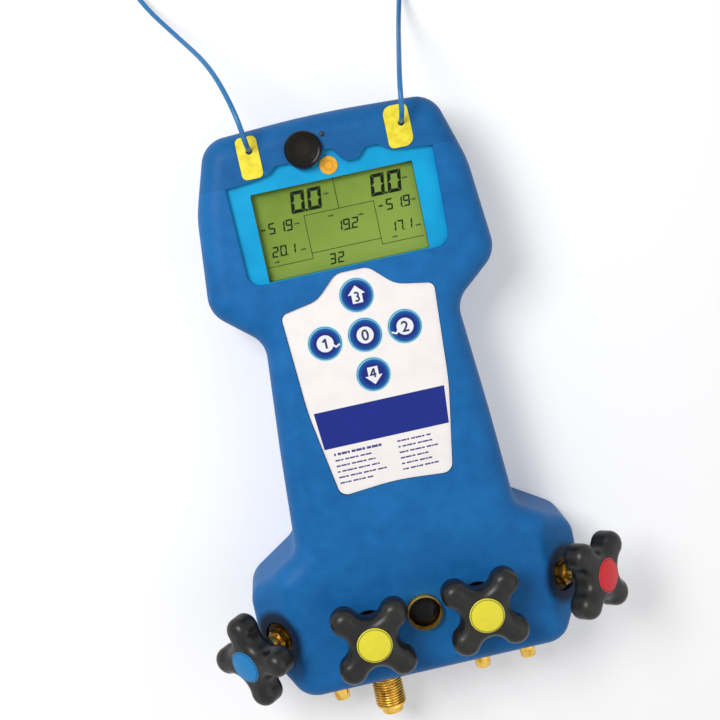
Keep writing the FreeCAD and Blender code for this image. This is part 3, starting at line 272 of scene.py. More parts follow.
def addFloor():
    mesh = bpy.data.meshes.new("floor")
    form = bmesh.new()
    bmesh.ops.create_grid(form, x_segments=1, y_segments=1, size=studio["floorReach"])
    bmesh.ops.translate(form, verts=form.verts, vec=(0, 0, cadBox[0].z - studio["floorGap"]))
    form.to_mesh(mesh)
    form.free()
    floor = bpy.data.objects.new("floor", mesh)
    bpy.context.scene.collection.objects.link(floor)
    paper = bpy.data.materials.new("floorPaper")
    paper.use_nodes = True
    tree = paper.node_tree
    tree.nodes.clear()
    matt = tree.nodes.new("ShaderNodeBsdfDiffuse")
    matt.inputs["Color"].default_value = (*studio["floorColour"], 1)
    glow = tree.nodes.new("ShaderNodeEmission")
    strength = tree.nodes.new("ShaderNodeMath")
    strength.operation = "MULTIPLY"
    tree.links.new(seenRays(tree), strength.inputs[0])
    strength.inputs[1].default_value = studio["floorGlow"]
    tree.links.new(strength.outputs[0], glow.inputs["Strength"])
    both = tree.nodes.new("ShaderNodeAddShader")
    tree.links.new(matt.outputs[0], both.inputs[0])
    tree.links.new(glow.outputs[0], both.inputs[1])
    end = tree.nodes.new("ShaderNodeOutputMaterial")
    tree.links.new(both.outputs[0], end.inputs["Surface"])
    mesh.materials.append(paper)


def addWorld():
    world = bpy.data.worlds.new("studio")
    world.use_nodes = True
    tree = world.node_tree
    back = tree.nodes["Background"]
    level = tree.nodes.new("ShaderNodeMapRange")
    tree.links.new(seenRays(tree), level.inputs["Value"])
    level.inputs["To Min"].default_value = studio["worldLevel"]
    level.inputs["To Max"].default_value = 1.0
    tree.links.new(level.outputs[0], back.inputs["Strength"])
    back.inputs["Color"].default_value = (1, 1, 1, 1)
    bpy.context.scene.world = world


def addLamp(name, place, size, power):
    data = bpy.data.lights.new(name, "AREA")
    data.energy = power
    data.size = size
    lamp = bpy.data.objects.new(name, data)
    bpy.context.scene.collection.objects.link(lamp)
    lamp.location = place
    lamp.rotation_euler = (camera["aim"] - place).to_track_quat("-Z", "Y").to_euler()


addFloor()
addWorld()
addLamp("keyLamp", studio["keyPlace"], studio["keySize"], studio["keyPower"])
addLamp("fillLamp", studio["fillPlace"], studio["fillSize"], studio["fillPower"])
print("floor and light set")


def addPiece(name, mesh, body, finish, slot, *replaced):
    item = bpy.data.objects.new(name, mesh)
    bpy.context.scene.collection.objects.link(item)
    item.data.materials.clear()
    item.data.materials.append(finish.material)
    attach(item, body)
    if replaced:
        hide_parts(*replaced)
    return item


def paint(finish, *names):
    for name in names:
        item = nodes[name]
        for index in range(len(item.material_slots)):
            item.material_slots[index].link = "OBJECT"
            item.material_slots[index].material = finish.material


# Probe cords: the route's points, then a neat coil, then the probe
cords = {
    "diameter": 2.5 * millimetre,
    "turnPoints": 14,
    "coilRadius": 13.8,
    "coilHeight": 6.4,
    "innerTurns": 3,
    "outerTurns": 8,
    "innerSpread": 1.45,
    "outerSpread": 3.95,
    "sectionStart": -0.17,
    "widenTurns": 0.5,
    "probeHeight": 3.2,
    # the way out to the probe: along from the coil's middle, and the share of the way across
    "wayOut": ((8.0, 0.5), (13.0, 0.85), (17.5, 1.0)),
    "length": 1.10,
    "colour": linear(20, 110, 170),
    "dark": linear(16, 100, 160),
    "light": linear(30, 124, 184),
}
cordRoutes = {
    "left": [
        (-35.8, 241.8, 50.0),
        (-36.1, 243.6, 66.0),
        (-38.4, 263.0, 68.0),
        (-45.5, 286.0, 48.0),
        (-58.0, 304.0, 22.0),
        (-73.5, 326.0, 5.5),
        (-84.0, 355.2, 3.0),
    ],
    "right": [
        (38.1, 240.1, 50.0),
        (38.3, 241.7, 66.0),
        (40.2, 259.0, 67.5),
        (45.5, 276.0, 46.0),
        (50.5, 289.0, 20.0),
        (56.0, 305.0, 3.2),
        (61.0, 327.0, 3.0),
    ],
}
# each coil's middle, the angle where the cord comes in, and the way round
coils = {
    "left": ((-98.0, 360.0), math.radians(14), 1),
    "right": ((75.0, 326.0), math.radians(166), -1),
}


def coilPoints(side):
    (centreX, centreY), entry, way = coils[side]
    leaving = 0.0 if way > 0 else math.pi
    turns = cords["innerTurns"] + cords["outerTurns"]
    whole = turns * math.tau + (leaving - entry) * way
    steps = round(whole / math.tau * cords["turnPoints"])
    points = []
    for step in range(steps + 1):
        turned = whole * step / steps
        angle = entry + way * turned
        done = turned / math.tau
        inner = min(done, cords["innerTurns"])
        outer = max(0.0, done - cords["innerTurns"])
        section = math.tau * (cords["sectionStart"] + inner / cords["innerTurns"]
                              + outer / cords["outerTurns"])
        widening = min(1.0, outer / cords["widenTurns"])
        spread = cords["innerSpread"] + (cords["outerSpread"] - cords["innerSpread"]) * widening
        reach = cords["coilRadius"] + spread * math.cos(section)
        points.append((centreX + reach * math.cos(angle), centreY + reach * math.sin(angle),
                       cords["coilHeight"] + spread * math.sin(section)))
    return points


def cordPoints(side):
    points = cordRoutes[side] + coilPoints(side)
    (centreX, centreY), _, way = coils[side]
    endX = centreX + way * cords["coilRadius"]
    last = points[-1]
    for along, share in cords["wayOut"]:
        points.append((last[0] + (endX - last[0]) * share, centreY + along,
                       last[2] + (cords["probeHeight"] - last[2]) * share))
    return points


def addCord(side, finish):
    curve = bpy.data.curves.new(f"probeCord_{side}", "CURVE")
    curve.dimensions = "3D"
    points = cordPoints(side)
    line = curve.splines.new("NURBS")
    line.points.add(len(points) - 1)
    for spot, point in zip(line.points, points):
        spot.co = (*mm(*point), 1.0)
    line.order_u = 3
    line.use_endpoint_u = True
    line.resolution_u = 6
    curve.bevel_depth = cords["diameter"] / 2
    curve.bevel_resolution = 3
    curve.use_fill_caps = True
    item = addPiece(f"probeCord_{side}", curve, "case", finish, "cord_blue",
                    f"cord_{side}", f"coil_{side}")
    tuple(mm(*points[0]))


def cordFinish():
    finish = Finish("bluePvc", cords["colour"], Roughness=0.32)
    cloud = finish.noise(220.0, 4.0)
    finish.feed("Base Color", finish.mix(cloud, cords["dark"], cords["light"]))
    finish.relief(finish.noise(1400.0, 2.0), 0.1, 0.1)
    return finish


cordPlastic = cordFinish()
for side in cordRoutes:
    addCord(side, cordPlastic)
print("probe cords laid")


# The valves' axes: a spot on each, and the turn that brings Z onto it
valveAxes = {
    "low": (mm(-75, -1, 46), (math.radians(8), math.radians(-45), 0)),
    "vacuum": (mm(-28.3, -2, 56), (0, 0, 0)),
    "charge": (mm(28.3, 0, 56), (0, 0, 0)),
    "high": (mm(75, 0, 46), (0, math.radians(45), 0)),
}


# Boot and housing: satin rubber outside, grained plastic inside
boot = {
    "deep": linear(10, 90, 154),
    "bright": linear(28, 114, 182),
    "roughness": 0.5,
    "grain": 2600.0,
    "cloud": 26.0,
    # painted shade round the side valves: its colour, its reach from their axes, the heights where
    # it starts, and its share
    "recessShade": (0.003, 0.006, 0.02),
    "recessShadeReach": (12.5, 17.5),
    "recessShadeHeight": (26.0, 36.0),
    "recessShadeShare": 0.92,
}
shell = {
    "deep": linear(0, 148, 204),
    "bright": linear(6, 172, 224),
    "roughness": 0.42,
    "grain": 3400.0,
}


def sideReach(finish):
    # distance from the nearer axis of the two side valves
    low, high = (finish.apart(*valveAxes[key]) / millimetre for key in ("low", "high"))
    return low.least(high)


def sideShade(finish):
    # painted shade: the rubber is painted near black round the side valves, above a height, for the
    # shade in their deep recesses
    z = finish.axes()[2]
    around = 1 - sideReach(finish).ramp(*boot["recessShadeReach"])
    return around * (z / millimetre).ramp(*boot["recessShadeHeight"]) * boot["recessShadeShare"]


def rubberFinish(name, lighter):
    finish = Finish(name, boot["deep"], Roughness=boot["roughness"], Specular_IOR_Level=0.18)
    cloud = finish.noise(boot["cloud"], 5.0, 0.6)
    smear = finish.noise(140.0, 4.0, 0.55)
    share = (cloud * 0.6 + smear * 0.4).ramp(0.2, 0.8)
    blue = finish.mix(share, shade(boot["deep"], lighter), shade(boot["bright"], lighter))
    # painted shade round the side valves is mixed into the rubber's colour
    finish.feed("Base Color", finish.mix(sideShade(finish), blue, boot["recessShade"]))
    finish.feed("Roughness", boot["roughness"] - 0.1 + smear * 0.2)
    finish.relief(finish.noise(boot["grain"], 2.0) * 0.6 + smear * 0.4, 0.16, 0.12)
    return finish


def shellFinish(name):
    finish = Finish(name, shell["deep"], Roughness=shell["roughness"], Specular_IOR_Level=0.2)
    cloud = finish.noise(60.0, 4.0)
    spark = finish.cells(shell["grain"])
    finish.feed("Roughness", shell["roughness"] - 0.06 + spark * 0.12)
    finish.feed("Base Color", finish.mix(cloud.ramp(0.1, 0.9), shell["deep"], shell["bright"]))
    finish.relief(spark, 0.22, 0.08)
    return finish


paint(rubberFinish("bootRubber", 1.0), "boot")
paint(rubberFinish("hoodRubber", 0.84), "boot_hood")
shellPlastic = shellFinish("housingPlastic")
paint(shellPlastic, "front_housing", "rear_housing", "battery_door")
print("boot and housing finished")


# Display: the crystal layer, its marks, the clear window and its gasket
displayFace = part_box("lcd_module")[1].z
display = {
    "marks": (displayFace, displayFace + 0.03 * millimetre),
    "low": linear(114, 143, 50),
    "high": linear(149, 177, 80),
    "ink": linear(12, 20, 10),
    "window": (0.02, 0.025, 0.02),
    "foam": (0.012, 0.012, 0.012),
    "foamDeep": (0.006, 0.006, 0.006),
    "foamPale": (0.03, 0.03, 0.03),
    "lighter": (7.0, -14.0, 0.45),    # to the right, to the head, and at the middle
    "pixels": 9000.0,
    # shares of a digit's height, the gap a share of the pen
    "slant": 0.13,
    "wide": 0.47,
    "pace": 0.78,
    "largePen": 0.165,
    "smallPen": 0.14,
    "gap": 0.05,
    "dot": 0.11,
    "oneShift": 0.08,
    "largeFrom": 8.0,
    "numbers": [
        # text, left, low, digit height
        ("0.0", -21.4, 208.6, 10.7),
        ("0.0", 18.4, 208.6, 10.7),
        ("-51.9", -39.2, 201.1, 5.5),
        ("-51.9", 19.4, 200.7, 5.5),
        ("20.1", -35.6, 189.7, 5.2),
        ("17.1", 22.8, 189.6, 5.2),
        ("19.2", -3.0, 195.6, 5.4),
        ("32", -8.9, 180.6, 5.3),
    ],
    "lines": [
        # left, low, right, high
        (0.6, 206.7, 0.95, 222.0),
        (-16.75, 206.55, 18.15, 206.85),
        (-16.8, 185.2, -16.5, 206.9),
        (17.9, 184.8, 18.2, 206.9),
        (-16.75, 187.9, 18.15, 188.2),
        (-39.4, 185.25, -16.55, 185.55),
        (17.95, 184.85, 39.0, 185.15),
    ],
    "dashes": [
        # small bars where the units stand, three in a row
        (-5.0, 214.6), (34.0, 214.2), (-22.0, 203.4), (36.0, 203.0), (-21.6, 190.4), (36.0, 190.2),
        (-5.0, 203.6), (9.4, 201.2), (-35.5, 187.0), (23.6, 187.0),
    ],
    "dashWidths": (0.55, 0.75, 0.5),
    "dashStep": 0.95,
    "dashHeight": 0.75,
}
segments = {
    "0": "abcdef", "1": "bc", "2": "abged", "3": "abgcd", "5": "afgcd", "7": "abc", "9": "abcdfg",
    "-": "g",
}


def addPlate(form, corners, low, high):
    # a flat plate from its outline in millimetres, between two heights
    face = form.faces.new([form.verts.new((x * millimetre, y * millimetre, low))
                           for x, y in corners])
    grown = bmesh.ops.extrude_face_region(form, geom=[face])
    tops = [item for item in grown["geom"] if isinstance(item, bmesh.types.BMVert)]
    bmesh.ops.translate(form, verts=tops, vec=(0, 0, high - low))


def addBar(form, left, near, right, far, low, high):
    addPlate(form, [(left, near), (right, near), (right, far), (left, far)], low, high)


def meshFrom(form, name):
    bmesh.ops.recalc_face_normals(form, faces=form.faces)
    mesh = bpy.data.meshes.new(name)
    form.to_mesh(mesh)
    form.free()
    return mesh


def addDigit(form, sign, left, low, height):
    # up to seven bars with mitred ends
    pen = height * display["largePen" if height > display["largeFrom"] else "smallPen"]
    gap = pen * display["gap"]
    side, half = pen / 2, height / 2
    x0, x1 = -side, height * display["wide"] + side
    upper = [(x0, height - gap), (x0, half + gap), (x0 + side, half + gap),
             (x0 + pen, half + side + gap), (x0 + pen, height - pen - gap)]
    top = [(x0 + gap, height), (x0 + pen + gap, height - pen),
           (x1 - pen - gap, height - pen), (x1 - gap, height)]
    bars = {
        "a": top,
        "b": [(x0 + x1 - x, y) for x, y in upper],
        "c": [(x0 + x1 - x, height - y) for x, y in upper],
        "d": [(x, height - y) for x, y in top],
        "e": [(x, height - y) for x, y in upper],
        "f": upper,
        "g": [(x0 + side + gap, half), (x0 + pen + gap, half - side),
              (x1 - pen - gap, half - side), (x1 - side - gap, half),
              (x1 - pen - gap, half + side), (x0 + pen + gap, half + side)],
    }
    for key in segments[sign]:
        placed = [(left + x + y * display["slant"], low + y) for x, y in bars[key]]
        addPlate(form, placed, *display["marks"])


def displayMarks():
    form = bmesh.new()
    for text, left, low, height in display["numbers"]:
        place = left
        for sign in text:
            if sign == ".":
                dot = height * display["dot"]
                x = place - (height * (display["pace"] - display["wide"]) + dot) / 2
                addBar(form, x, low, x + dot, low + dot, *display["marks"])
                continue
            shift = height * display["oneShift"] if sign == "1" else 0
            addDigit(form, sign, place + shift, low, height)
            place += height * display["pace"]
    for line in display["lines"]:
        addBar(form, *line, *display["marks"])
    for x, y in display["dashes"]:
        for step, wide in enumerate(display["dashWidths"]):
            start = x + step * display["dashStep"]
            addBar(form, start, y, start + wide, y + display["dashHeight"], *display["marks"])
    return meshFrom(form, "displayMarks")


def crystalFinish():
    finish = Finish("crystalLayer", display["low"], Roughness=0.34, Specular_IOR_Level=0.1)
    x, y, z = finish.axes(mm(0, 200, 0))
    across, along, middle = display["lighter"]
    rise = (x * across + y * along + middle).ramp(0.0, 1.0)
    tint = finish.mix(rise, display["low"], display["high"])
    pixels = (y * display["pixels"]).sine() * (x * display["pixels"]).sine()
    share = (pixels * 0.04 + finish.noise(90.0) * 0.3).ramp(0.0, 0.5)
    finish.feed("Base Color", finish.mix(share, tint, shade(display["high"], 1.05)))
    return finish


def inkFinish():
    finish = Finish("displayInk", display["ink"], Roughness=0.4, Specular_IOR_Level=0.1)
    cloud = finish.noise(400.0)
    finish.feed("Base Color", finish.mix(cloud, display["ink"], shade(display["ink"], 1.8)))
    return finish


def windowFinish():
    finish = Finish("clearWindow", display["window"], Roughness=0.04, Alpha=0.03, IOR=1.49)
    finish.feed("Roughness", finish.noise(300.0, 4.0) * 0.06 + 0.02)
    return finish


def foamFinish():
    finish = Finish("gasketFoam", display["foam"], Roughness=0.85)
    pores = finish.cells(2600.0)
    finish.feed("Base Color", finish.mix(pores, display["foamDeep"], display["foamPale"]))
    finish.relief(pores, 0.5, 0.2)
    return finish


paint(crystalFinish(), "lcd_module")
paint(windowFinish(), "lcd_window")
paint(foamFinish(), "lcd_gasket")
addPiece("displayMarks", displayMarks(), "case", inkFinish(), "screen")
print("display finished")


# Keypad: white film with its navy band, blue keys with pale rims, and their signs
keypad = {
    "white": linear(250, 244, 241),
    "navy": linear(18, 36, 124),
    "blue": linear(4, 86, 160),
    "cyan": linear(140, 222, 242),
    "sign": linear(244, 244, 250),
    "digit": linear(24, 30, 78),
    "halo": (8.0 * millimetre, 9.1 * millimetre),
    "band": {"low": 92.0, "high": 111.0, "halfLow": 31.6, "halfHigh": 33.0, "soft": 0.12},
    "keyRadius": 8.0,
    # shares of the key's radius where its colour changes
    "body": (0.62, 0.92),
    "rim": (0.9, 1.02),
    "discRadius": 4.2,
    "arrow": [(-2.6, -3.9), (2.6, -3.9), (2.6, 0.5), (4.3, 0.5), (0.0, 4.9), (-4.3, 0.5),
              (-2.6, 0.5)],
    "tail": [(3.0, -1.6), (4.9, -3.1), (7.1, -1.9), (6.9, -1.1), (5.0, -2.1), (3.9, -0.8)],
    "signHeight": 0.05,
    "digitHeight": 0.09,
    "crossing": 0.01,       # how far a plate that crosses another is sunk
    "digitSize": 7.5,
    "digitBold": 0.15 * millimetre,
    "digitThick": 0.02 * millimetre,
}
legend = {
    "ink": linear(60, 66, 130),
    "top": 88.0,
    "rows": 6,
    "rowPitch": 2.9,
    "columns": [(-27.5, -3.0), (4.5, 25.5)],
    "high": 0.8,
    "titleHigh": 1.25,
    "thick": 0.02,
    "shortest": 0.9,
    "longer": 0.22,
    "gap": 0.3,
    "wordGap": 0.9,
}
keySpots = {
    "key_0": (0, 144), "key_1": (-20, 144), "key_2": (20, 144),
    "key_3": (0, 164), "key_4": (0, 124),
}
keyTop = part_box("key_0")[1].z


def filmFinish():
    finish = Finish("keypadFilm", keypad["white"], Roughness=0.38, Specular_IOR_Level=0.25)
    cloud = finish.noise(110.0, 3.0)
    white = finish.mix(cloud.ramp(0.35, 0.7), keypad["white"], shade(keypad["white"], 0.955))
    nearest = None
    for x, y in keySpots.values():
        reach = finish.apart(mm(x, y, 0))
        nearest = reach if nearest is None else nearest.least(reach)
    rimmed = finish.mix(1 - nearest.ramp(*keypad["halo"]), white, keypad["cyan"])
    x, y, z = finish.axes()
    x, y = x / millimetre, y / millimetre
    band = keypad["band"]

    def past(length, edge):
        return length.ramp(edge - band["soft"], edge + band["soft"])

    slope = (band["halfHigh"] - band["halfLow"]) / (band["high"] - band["low"])
    inRow = past(y, band["low"]) * (1 - past(y, band["high"]))
    inBand = inRow * (1 - past(abs(x) - (y - band["low"]) * slope, band["halfLow"]))
    ink = finish.mix(cloud, keypad["navy"], shade(keypad["navy"], 1.25))
    finish.feed("Base Color", finish.mix(inBand, rimmed, ink))
    finish.relief(finish.noise(2200.0, 2.0), 0.08, 0.06)
    return finish


def keyFinish(name, spot):
    finish = Finish(name, keypad["navy"], Roughness=0.34, Specular_IOR_Level=0.25)
    reach = finish.apart(mm(*spot, 0)) / (keypad["keyRadius"] * millimetre)
    body = finish.mix(reach.ramp(*keypad["body"]), keypad["navy"], keypad["blue"])
    finish.feed("Base Color", finish.mix(reach.ramp(*keypad["rim"]), body, keypad["cyan"]))
    finish.relief(finish.noise(2200.0, 2.0), 0.08, 0.06)
    return finish


def printFinish(name, colour):
    finish = Finish(name, colour, Roughness=0.36)
    finish.feed("Base Color", finish.mix(finish.noise(500.0), colour, shade(colour, 0.9)))
    return finish


def discCorners(radius, count=40):
    form = bmesh.new()
    made = bmesh.ops.create_circle(form, segments=count, radius=radius)
    corners = [(vert.co.x, vert.co.y) for vert in made["verts"]]
    form.free()
    return corners


def legendMesh():
    # rows of small bars where the printed notes stand; the remainders make lengths and ends uneven
    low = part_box("keypad_overlay")[1].z
    form = bmesh.new()
    for row in range(legend["rows"]):
        y = legend["top"] - row * legend["rowPitch"]
        for column, (x, right) in enumerate(legend["columns"]):
            step = row * 2 + column
            high = legend["high" if row or column else "titleHigh"]
            while x < right - (row * 7 + column * 5) % 9:
                wide = legend["shortest"] + (step * 37 % 11) * legend["longer"]
                addBar(form, x, y, x + wide, y + high, low, low + legend["thick"] * millimetre)
                x += wide + legend["gap" if step % 3 else "wordGap"]
                step += 1
    return meshFrom(form, "legendBars")


def signMesh(key):
    # a white disc, or an arrow that points up or down, and on two keys a small tail
    x, y = keySpots[key]
    form = bmesh.new()
    way = {"key_3": 1, "key_4": -1}.get(key)
    outlines = []
    if way is None:
        outlines.append(discCorners(keypad["discRadius"]))
    else:
        outlines.append([(across, along * way) for across, along in keypad["arrow"]][::way])
    side = {"key_1": 1, "key_2": -1}.get(key)
    if side:
        outlines.append([(across * side, along) for across, along in keypad["tail"]][::side])
    top = keyTop + keypad["signHeight"] * millimetre
    for index, outline in enumerate(outlines):
        sunk = index * keypad["crossing"] * millimetre
        addPlate(form, [(x + across, y + along) for across, along in outline],
                 keyTop - sunk, top - sunk)
    return meshFrom(form, f"sign_{key}")


def arc(x, y, radius, first, last, steps=14):
    angles = [math.radians(first + (last - first) * step / steps) for step in range(steps + 1)]
    return [(x + radius * math.cos(angle), y + radius * math.sin(angle)) for angle in angles]


def strokeOutline(line, pen):
    # the two sides of a bent line, with mitred corners
    line = [Vector(point) for point in line]
    runs = [(after - before).normalized() for before, after in zip(line, line[1:])]
    sides = [[], []]
    for index, point in enumerate(line):
        before, after = runs[max(index - 1, 0)], runs[min(index, len(runs) - 1)]
        way = (before + after).normalized()
        across = Vector((-way.y, way.x)) * (pen / 2 / way.dot(before))
        sides[0].append(point + across)
        sides[1].append(point - across)
    return sides[0] + sides[1][::-1]


drawnDigits = {
    "key_1": {"shift": 0.0, "pen": 1.05,
              "lines": [[(0.35, 2.5), (0.35, -2.5)], [(0.3, 1.95), (-1.25, 0.95)]]},
    "key_3": {"shift": -0.7, "pen": 0.9,
              "lines": [arc(-0.2, 1.08, 1.0, 145, -95), arc(-0.2, -1.02, 1.1, 95, -145)]},
    "key_4": {"shift": 0.7, "pen": 0.9,
              "lines": [[(0.35, 2.05), (-1.35, -0.7), (1.4, -0.7)], [(0.55, 2.35), (0.55, -2.2)]]},
}


def drawnDigit(key):
    # the font's one is only a bar, and its three and four close up when they are made bold
    digit = drawnDigits[key]
    x, y = keySpots[key]
    form = bmesh.new()
    for index, line in enumerate(digit["lines"]):
        sunk = index * keypad["crossing"] * millimetre
        addPlate(form, [(x + across, y + along + digit["shift"])
                        for across, along in strokeOutline(line, digit["pen"])],
                 keyTop + keypad["signHeight"] * 0.5 * millimetre - sunk,
                 keyTop + keypad["digitHeight"] * millimetre - sunk)
    return meshFrom(form, f"digit_{key}")


def fontDigit(key):
    # the key's number from the plain built-in font, made a mesh before it is placed
    curve = bpy.data.curves.new("digitLine", "FONT")
    curve.body = key[-1]
    curve.size = keypad["digitSize"] * millimetre
    curve.align_x = "CENTER"
    curve.align_y = "CENTER"
    curve.offset = keypad["digitBold"]
    curve.extrude = keypad["digitThick"]
    item = bpy.data.objects.new("digitLine", curve)
    bpy.context.scene.collection.objects.link(item)
    solid = item.evaluated_get(bpy.context.evaluated_depsgraph_get())
    mesh = bpy.data.meshes.new_from_object(solid)
    bpy.data.objects.remove(item)
    lows = [min(vertex.co[axis] for vertex in mesh.vertices) for axis in range(3)]
    highs = [max(vertex.co[axis] for vertex in mesh.vertices) for axis in range(3)]
    middle = Vector([(low + high) / 2 for low, high in zip(lows, highs)])
    top = keyTop + keypad["digitHeight"] * millimetre
    place = mm(*keySpots[key], 0) + Vector((0, 0, top - highs[2] + middle.z))
    mesh.transform(Matrix.Translation(place - middle))
    mesh.name = f"digit_{key}"
    return mesh


signPrint = printFinish("signPrint", keypad["sign"])
digitPrint = printFinish("digitPrint", keypad["digit"])
paint(filmFinish(), "keypad_overlay")
legendPrint = printFinish("legendPrint", legend["ink"])
addPiece("legendBars", legendMesh(), "case", legendPrint, "overlay_white")
for key, spot in keySpots.items():
    paint(keyFinish(f"film_{key}", spot), key)
    addPiece(f"keySign_{key[-1]}", signMesh(key), key, signPrint, "overlay_white")
    digit = drawnDigit(key) if key in drawnDigits else fontDigit(key)
    addPiece(f"keyDigit_{key[-1]}", digit, key, digitPrint, "key_navy")
print("keypad finished")


# Head fittings: glands, plug, lamp and badge, and with them the dark hook and ties
head = {
    "yellow": linear(246, 230, 66),
    "yellowDeep": linear(224, 202, 40),
    "plug": linear(20, 19, 18),
    # painted highlight on the plug: its colour, where it sits, and how far out it fades
    "plugHighlight": linear(46, 39, 32),
    "plugSpot": mm(-10.5, 238, 0),
    "plugHighlightReach": (0.9, 6.48),
    "badge": linear(246, 186, 36),
    "badgeDeep": linear(214, 132, 20),
    "badgeSpot": mm(0, 228.2, 0),
    "badgeRing": ((1.5, 1.9), (2.5, 2.9)),
    "lamp": (0.004, 0.004, 0.008),
    "hook": (0.02, 0.02, 0.022),
    "tie": (0.014, 0.014, 0.015),
}


def glandFinish():
    finish = Finish("glandPlastic", head["yellow"], Roughness=0.36, Specular_IOR_Level=0.3)
    cloud = finish.noise(260.0, 4.0)
    share = cloud.ramp(0.35, 0.75)
    finish.feed("Base Color", finish.mix(share, head["yellow"], head["yellowDeep"]))
    finish.relief(finish.noise(1800.0), 0.12, 0.08)
    return finish


def plugFinish():
    finish = Finish("plugGloss", head["plug"], Roughness=0.16, Specular_IOR_Level=0.12)
    # painted highlight: a lighter brown patch round the plug's middle, mottled by noise that also
    # sets the roughness
    reach = finish.apart(head["plugSpot"]) / millimetre
    mottle = finish.noise(700.0, 4.0)
    share = (1 - reach.ramp(*head["plugHighlightReach"])) * (mottle * 0.7 + 0.3)
    finish.feed("Base Color", finish.mix(share, head["plug"], head["plugHighlight"]))
    finish.feed("Roughness", mottle * 0.14 + 0.1)
    return finish


def badgeFinish():
    finish = Finish("badgeDome", head["badge"], Roughness=0.22)
    reach = finish.apart(head["badgeSpot"]) / millimetre
    ring = reach.between(*head["badgeRing"])
    cloud = finish.noise(900.0, 2.0).ramp(0.4, 0.62)
    share = (ring * 0.7).most(cloud * 0.5)
    finish.feed("Base Color", finish.mix(share, head["badge"], head["badgeDeep"]))
    return finish


def darkFinish(name, colour, roughness, grain, depth):
    finish = Finish(name, colour, Roughness=roughness)
    cloud = finish.noise(grain, 3.0)
    finish.feed("Base Color", finish.mix(cloud, shade(colour, 0.6), shade(colour, 1.7)))
    finish.feed("Roughness", roughness - 0.05 + cloud * 0.12)
    finish.relief(finish.noise(grain * 6, 2.0), 0.15, depth)
    return finish


paint(glandFinish(), "cord_gland_left", "cord_gland_right")
paint(plugFinish(), "front_plug")
paint(darkFinish("lampSmoke", head["lamp"], 0.45, 500.0, 0.03), "status_lamp")
paint(badgeFinish(), "amber_badge")
paint(darkFinish("hookPlastic", head["hook"], 0.42, 300.0, 0.1), "hanging_hook")
paint(darkFinish("tieNylon", head["tie"], 0.4, 300.0, 0.05),
      "cord_tie_left", "cord_tie_right")
print("head fittings finished")


# Valves: turned brass, moulded knobs and printed caps
valves = {
    "caps": {
        "low": linear(0, 134, 204),
        "vacuum": linear(240, 228, 60),
        "charge": linear(240, 228, 60),
        "high": linear(236, 34, 48),
    },
    "capRing": ((7.7, 7.9), (8.15, 8.35)),
    # painted shade on the bonnets: near black beyond this reach from the side valves' axes
    "brightBonnet": (4.6, 6.6),
    "knob": (0.006, 0.006, 0.0055),
    "knobDeep": (0.004, 0.004, 0.004),
    "knobWorn": (0.013, 0.013, 0.011),
}
brass = {
    "bright": linear(236, 194, 96),
    "deep": linear(176, 128, 48),
    "edge": (0.02, 0.016, 0.012),
    "roughness": 0.2,
    "stain": (180.0, 5.0, 0.6),
    "stained": (0.42, 0.75),
}


def brassFinish(name, axis=((0, 0, 0), (0, 0, 0)), lines=2600.0, tone=1.0, dull=0.0, rim=None):
    # turned brass with fine lines across its axis; above a rim's two heights it is dark
    finish = Finish(name, brass["bright"], Metallic=1.0, Roughness=brass["roughness"])
    z = finish.axes(*axis)[2]
    stain = finish.noise(*brass["stain"])
    colour = finish.mix(stain.ramp(*brass["stained"]),
                        shade(brass["bright"], tone), shade(brass["deep"], tone))
    if rim:
        colour = finish.mix(z.ramp(*rim), colour, brass["edge"])
    finish.feed("Base Color", colour)
    finish.feed("Roughness", brass["roughness"] + dull - 0.06 + stain * 0.16)
    finish.relief((z * math.tau * lines).sine() * 0.5 + finish.noise(2400.0, 2.0) * 0.5, 0.12, 0.04)
    return finish


def bonnetFinish():
    # painted shade: dimmed brass near the middle of the side ones, painted near black elsewhere,
    # for the shade in the boot's holes
    finish = brassFinish("brassShaded", dull=0.12)
    stain = finish.noise(*brass["stain"]).ramp(*brass["stained"])
    dimmedBrass = finish.mix(stain, shade(brass["bright"], 0.6), shade(brass["deep"], 0.5))
    outside = sideReach(finish).ramp(*valves["brightBonnet"])
    finish.feed("Base Color", finish.mix(outside, dimmedBrass, shade(brass["deep"], 0.1)))
    return finish


def knobFinish():
    finish = Finish("knobPlastic", valves["knob"], Roughness=0.34, Specular_IOR_Level=0.34)
    cloud = finish.noise(70.0, 4.0, 0.6)
    worn = cloud.ramp(0.35, 0.7)
    finish.feed("Base Color", finish.mix(worn, valves["knobDeep"], valves["knobWorn"]))
    finish.feed("Roughness", cloud * 0.14 + 0.27)
    finish.relief(finish.noise(800.0, 3.0), 0.06, 0.1)
    return finish


def capFinish(name, axis, colour):
    finish = Finish(name, colour, Roughness=0.26, Specular_IOR_Level=0.3)
    reach = finish.apart(*axis) / millimetre
    cloud = finish.noise(300.0, 3.0)
    face = finish.mix(cloud, colour, shade(colour, 0.86))
    rim = reach.between(*valves["capRing"])
    finish.feed("Base Color", finish.mix(rim * 0.8, face, shade(colour, 0.12)))
    return finish


knobPlastic = knobFinish()
for key, colour in valves["caps"].items():
    paint(brassFinish(f"brass_{key}", valveAxes[key]), f"{key}_piston", f"{key}_stem")
    paint(knobPlastic, f"{key}_knob")
    paint(capFinish(f"cap_{key}", valveAxes[key], colour), f"{key}_cap")
paint(bonnetFinish(), "valve_bonnets")
print("valves finished")


turning = {
    "steps": 72,
    "weld": 0.002 * millimetre,
    "sharp": 35,
}


def smoothed(mesh, degrees):
    # smooth shading that keeps the edges sharper than an angle
    for face in mesh.polygons:
        face.use_smooth = True
    mesh.set_sharp_from_angle(angle=math.radians(degrees))
    return mesh


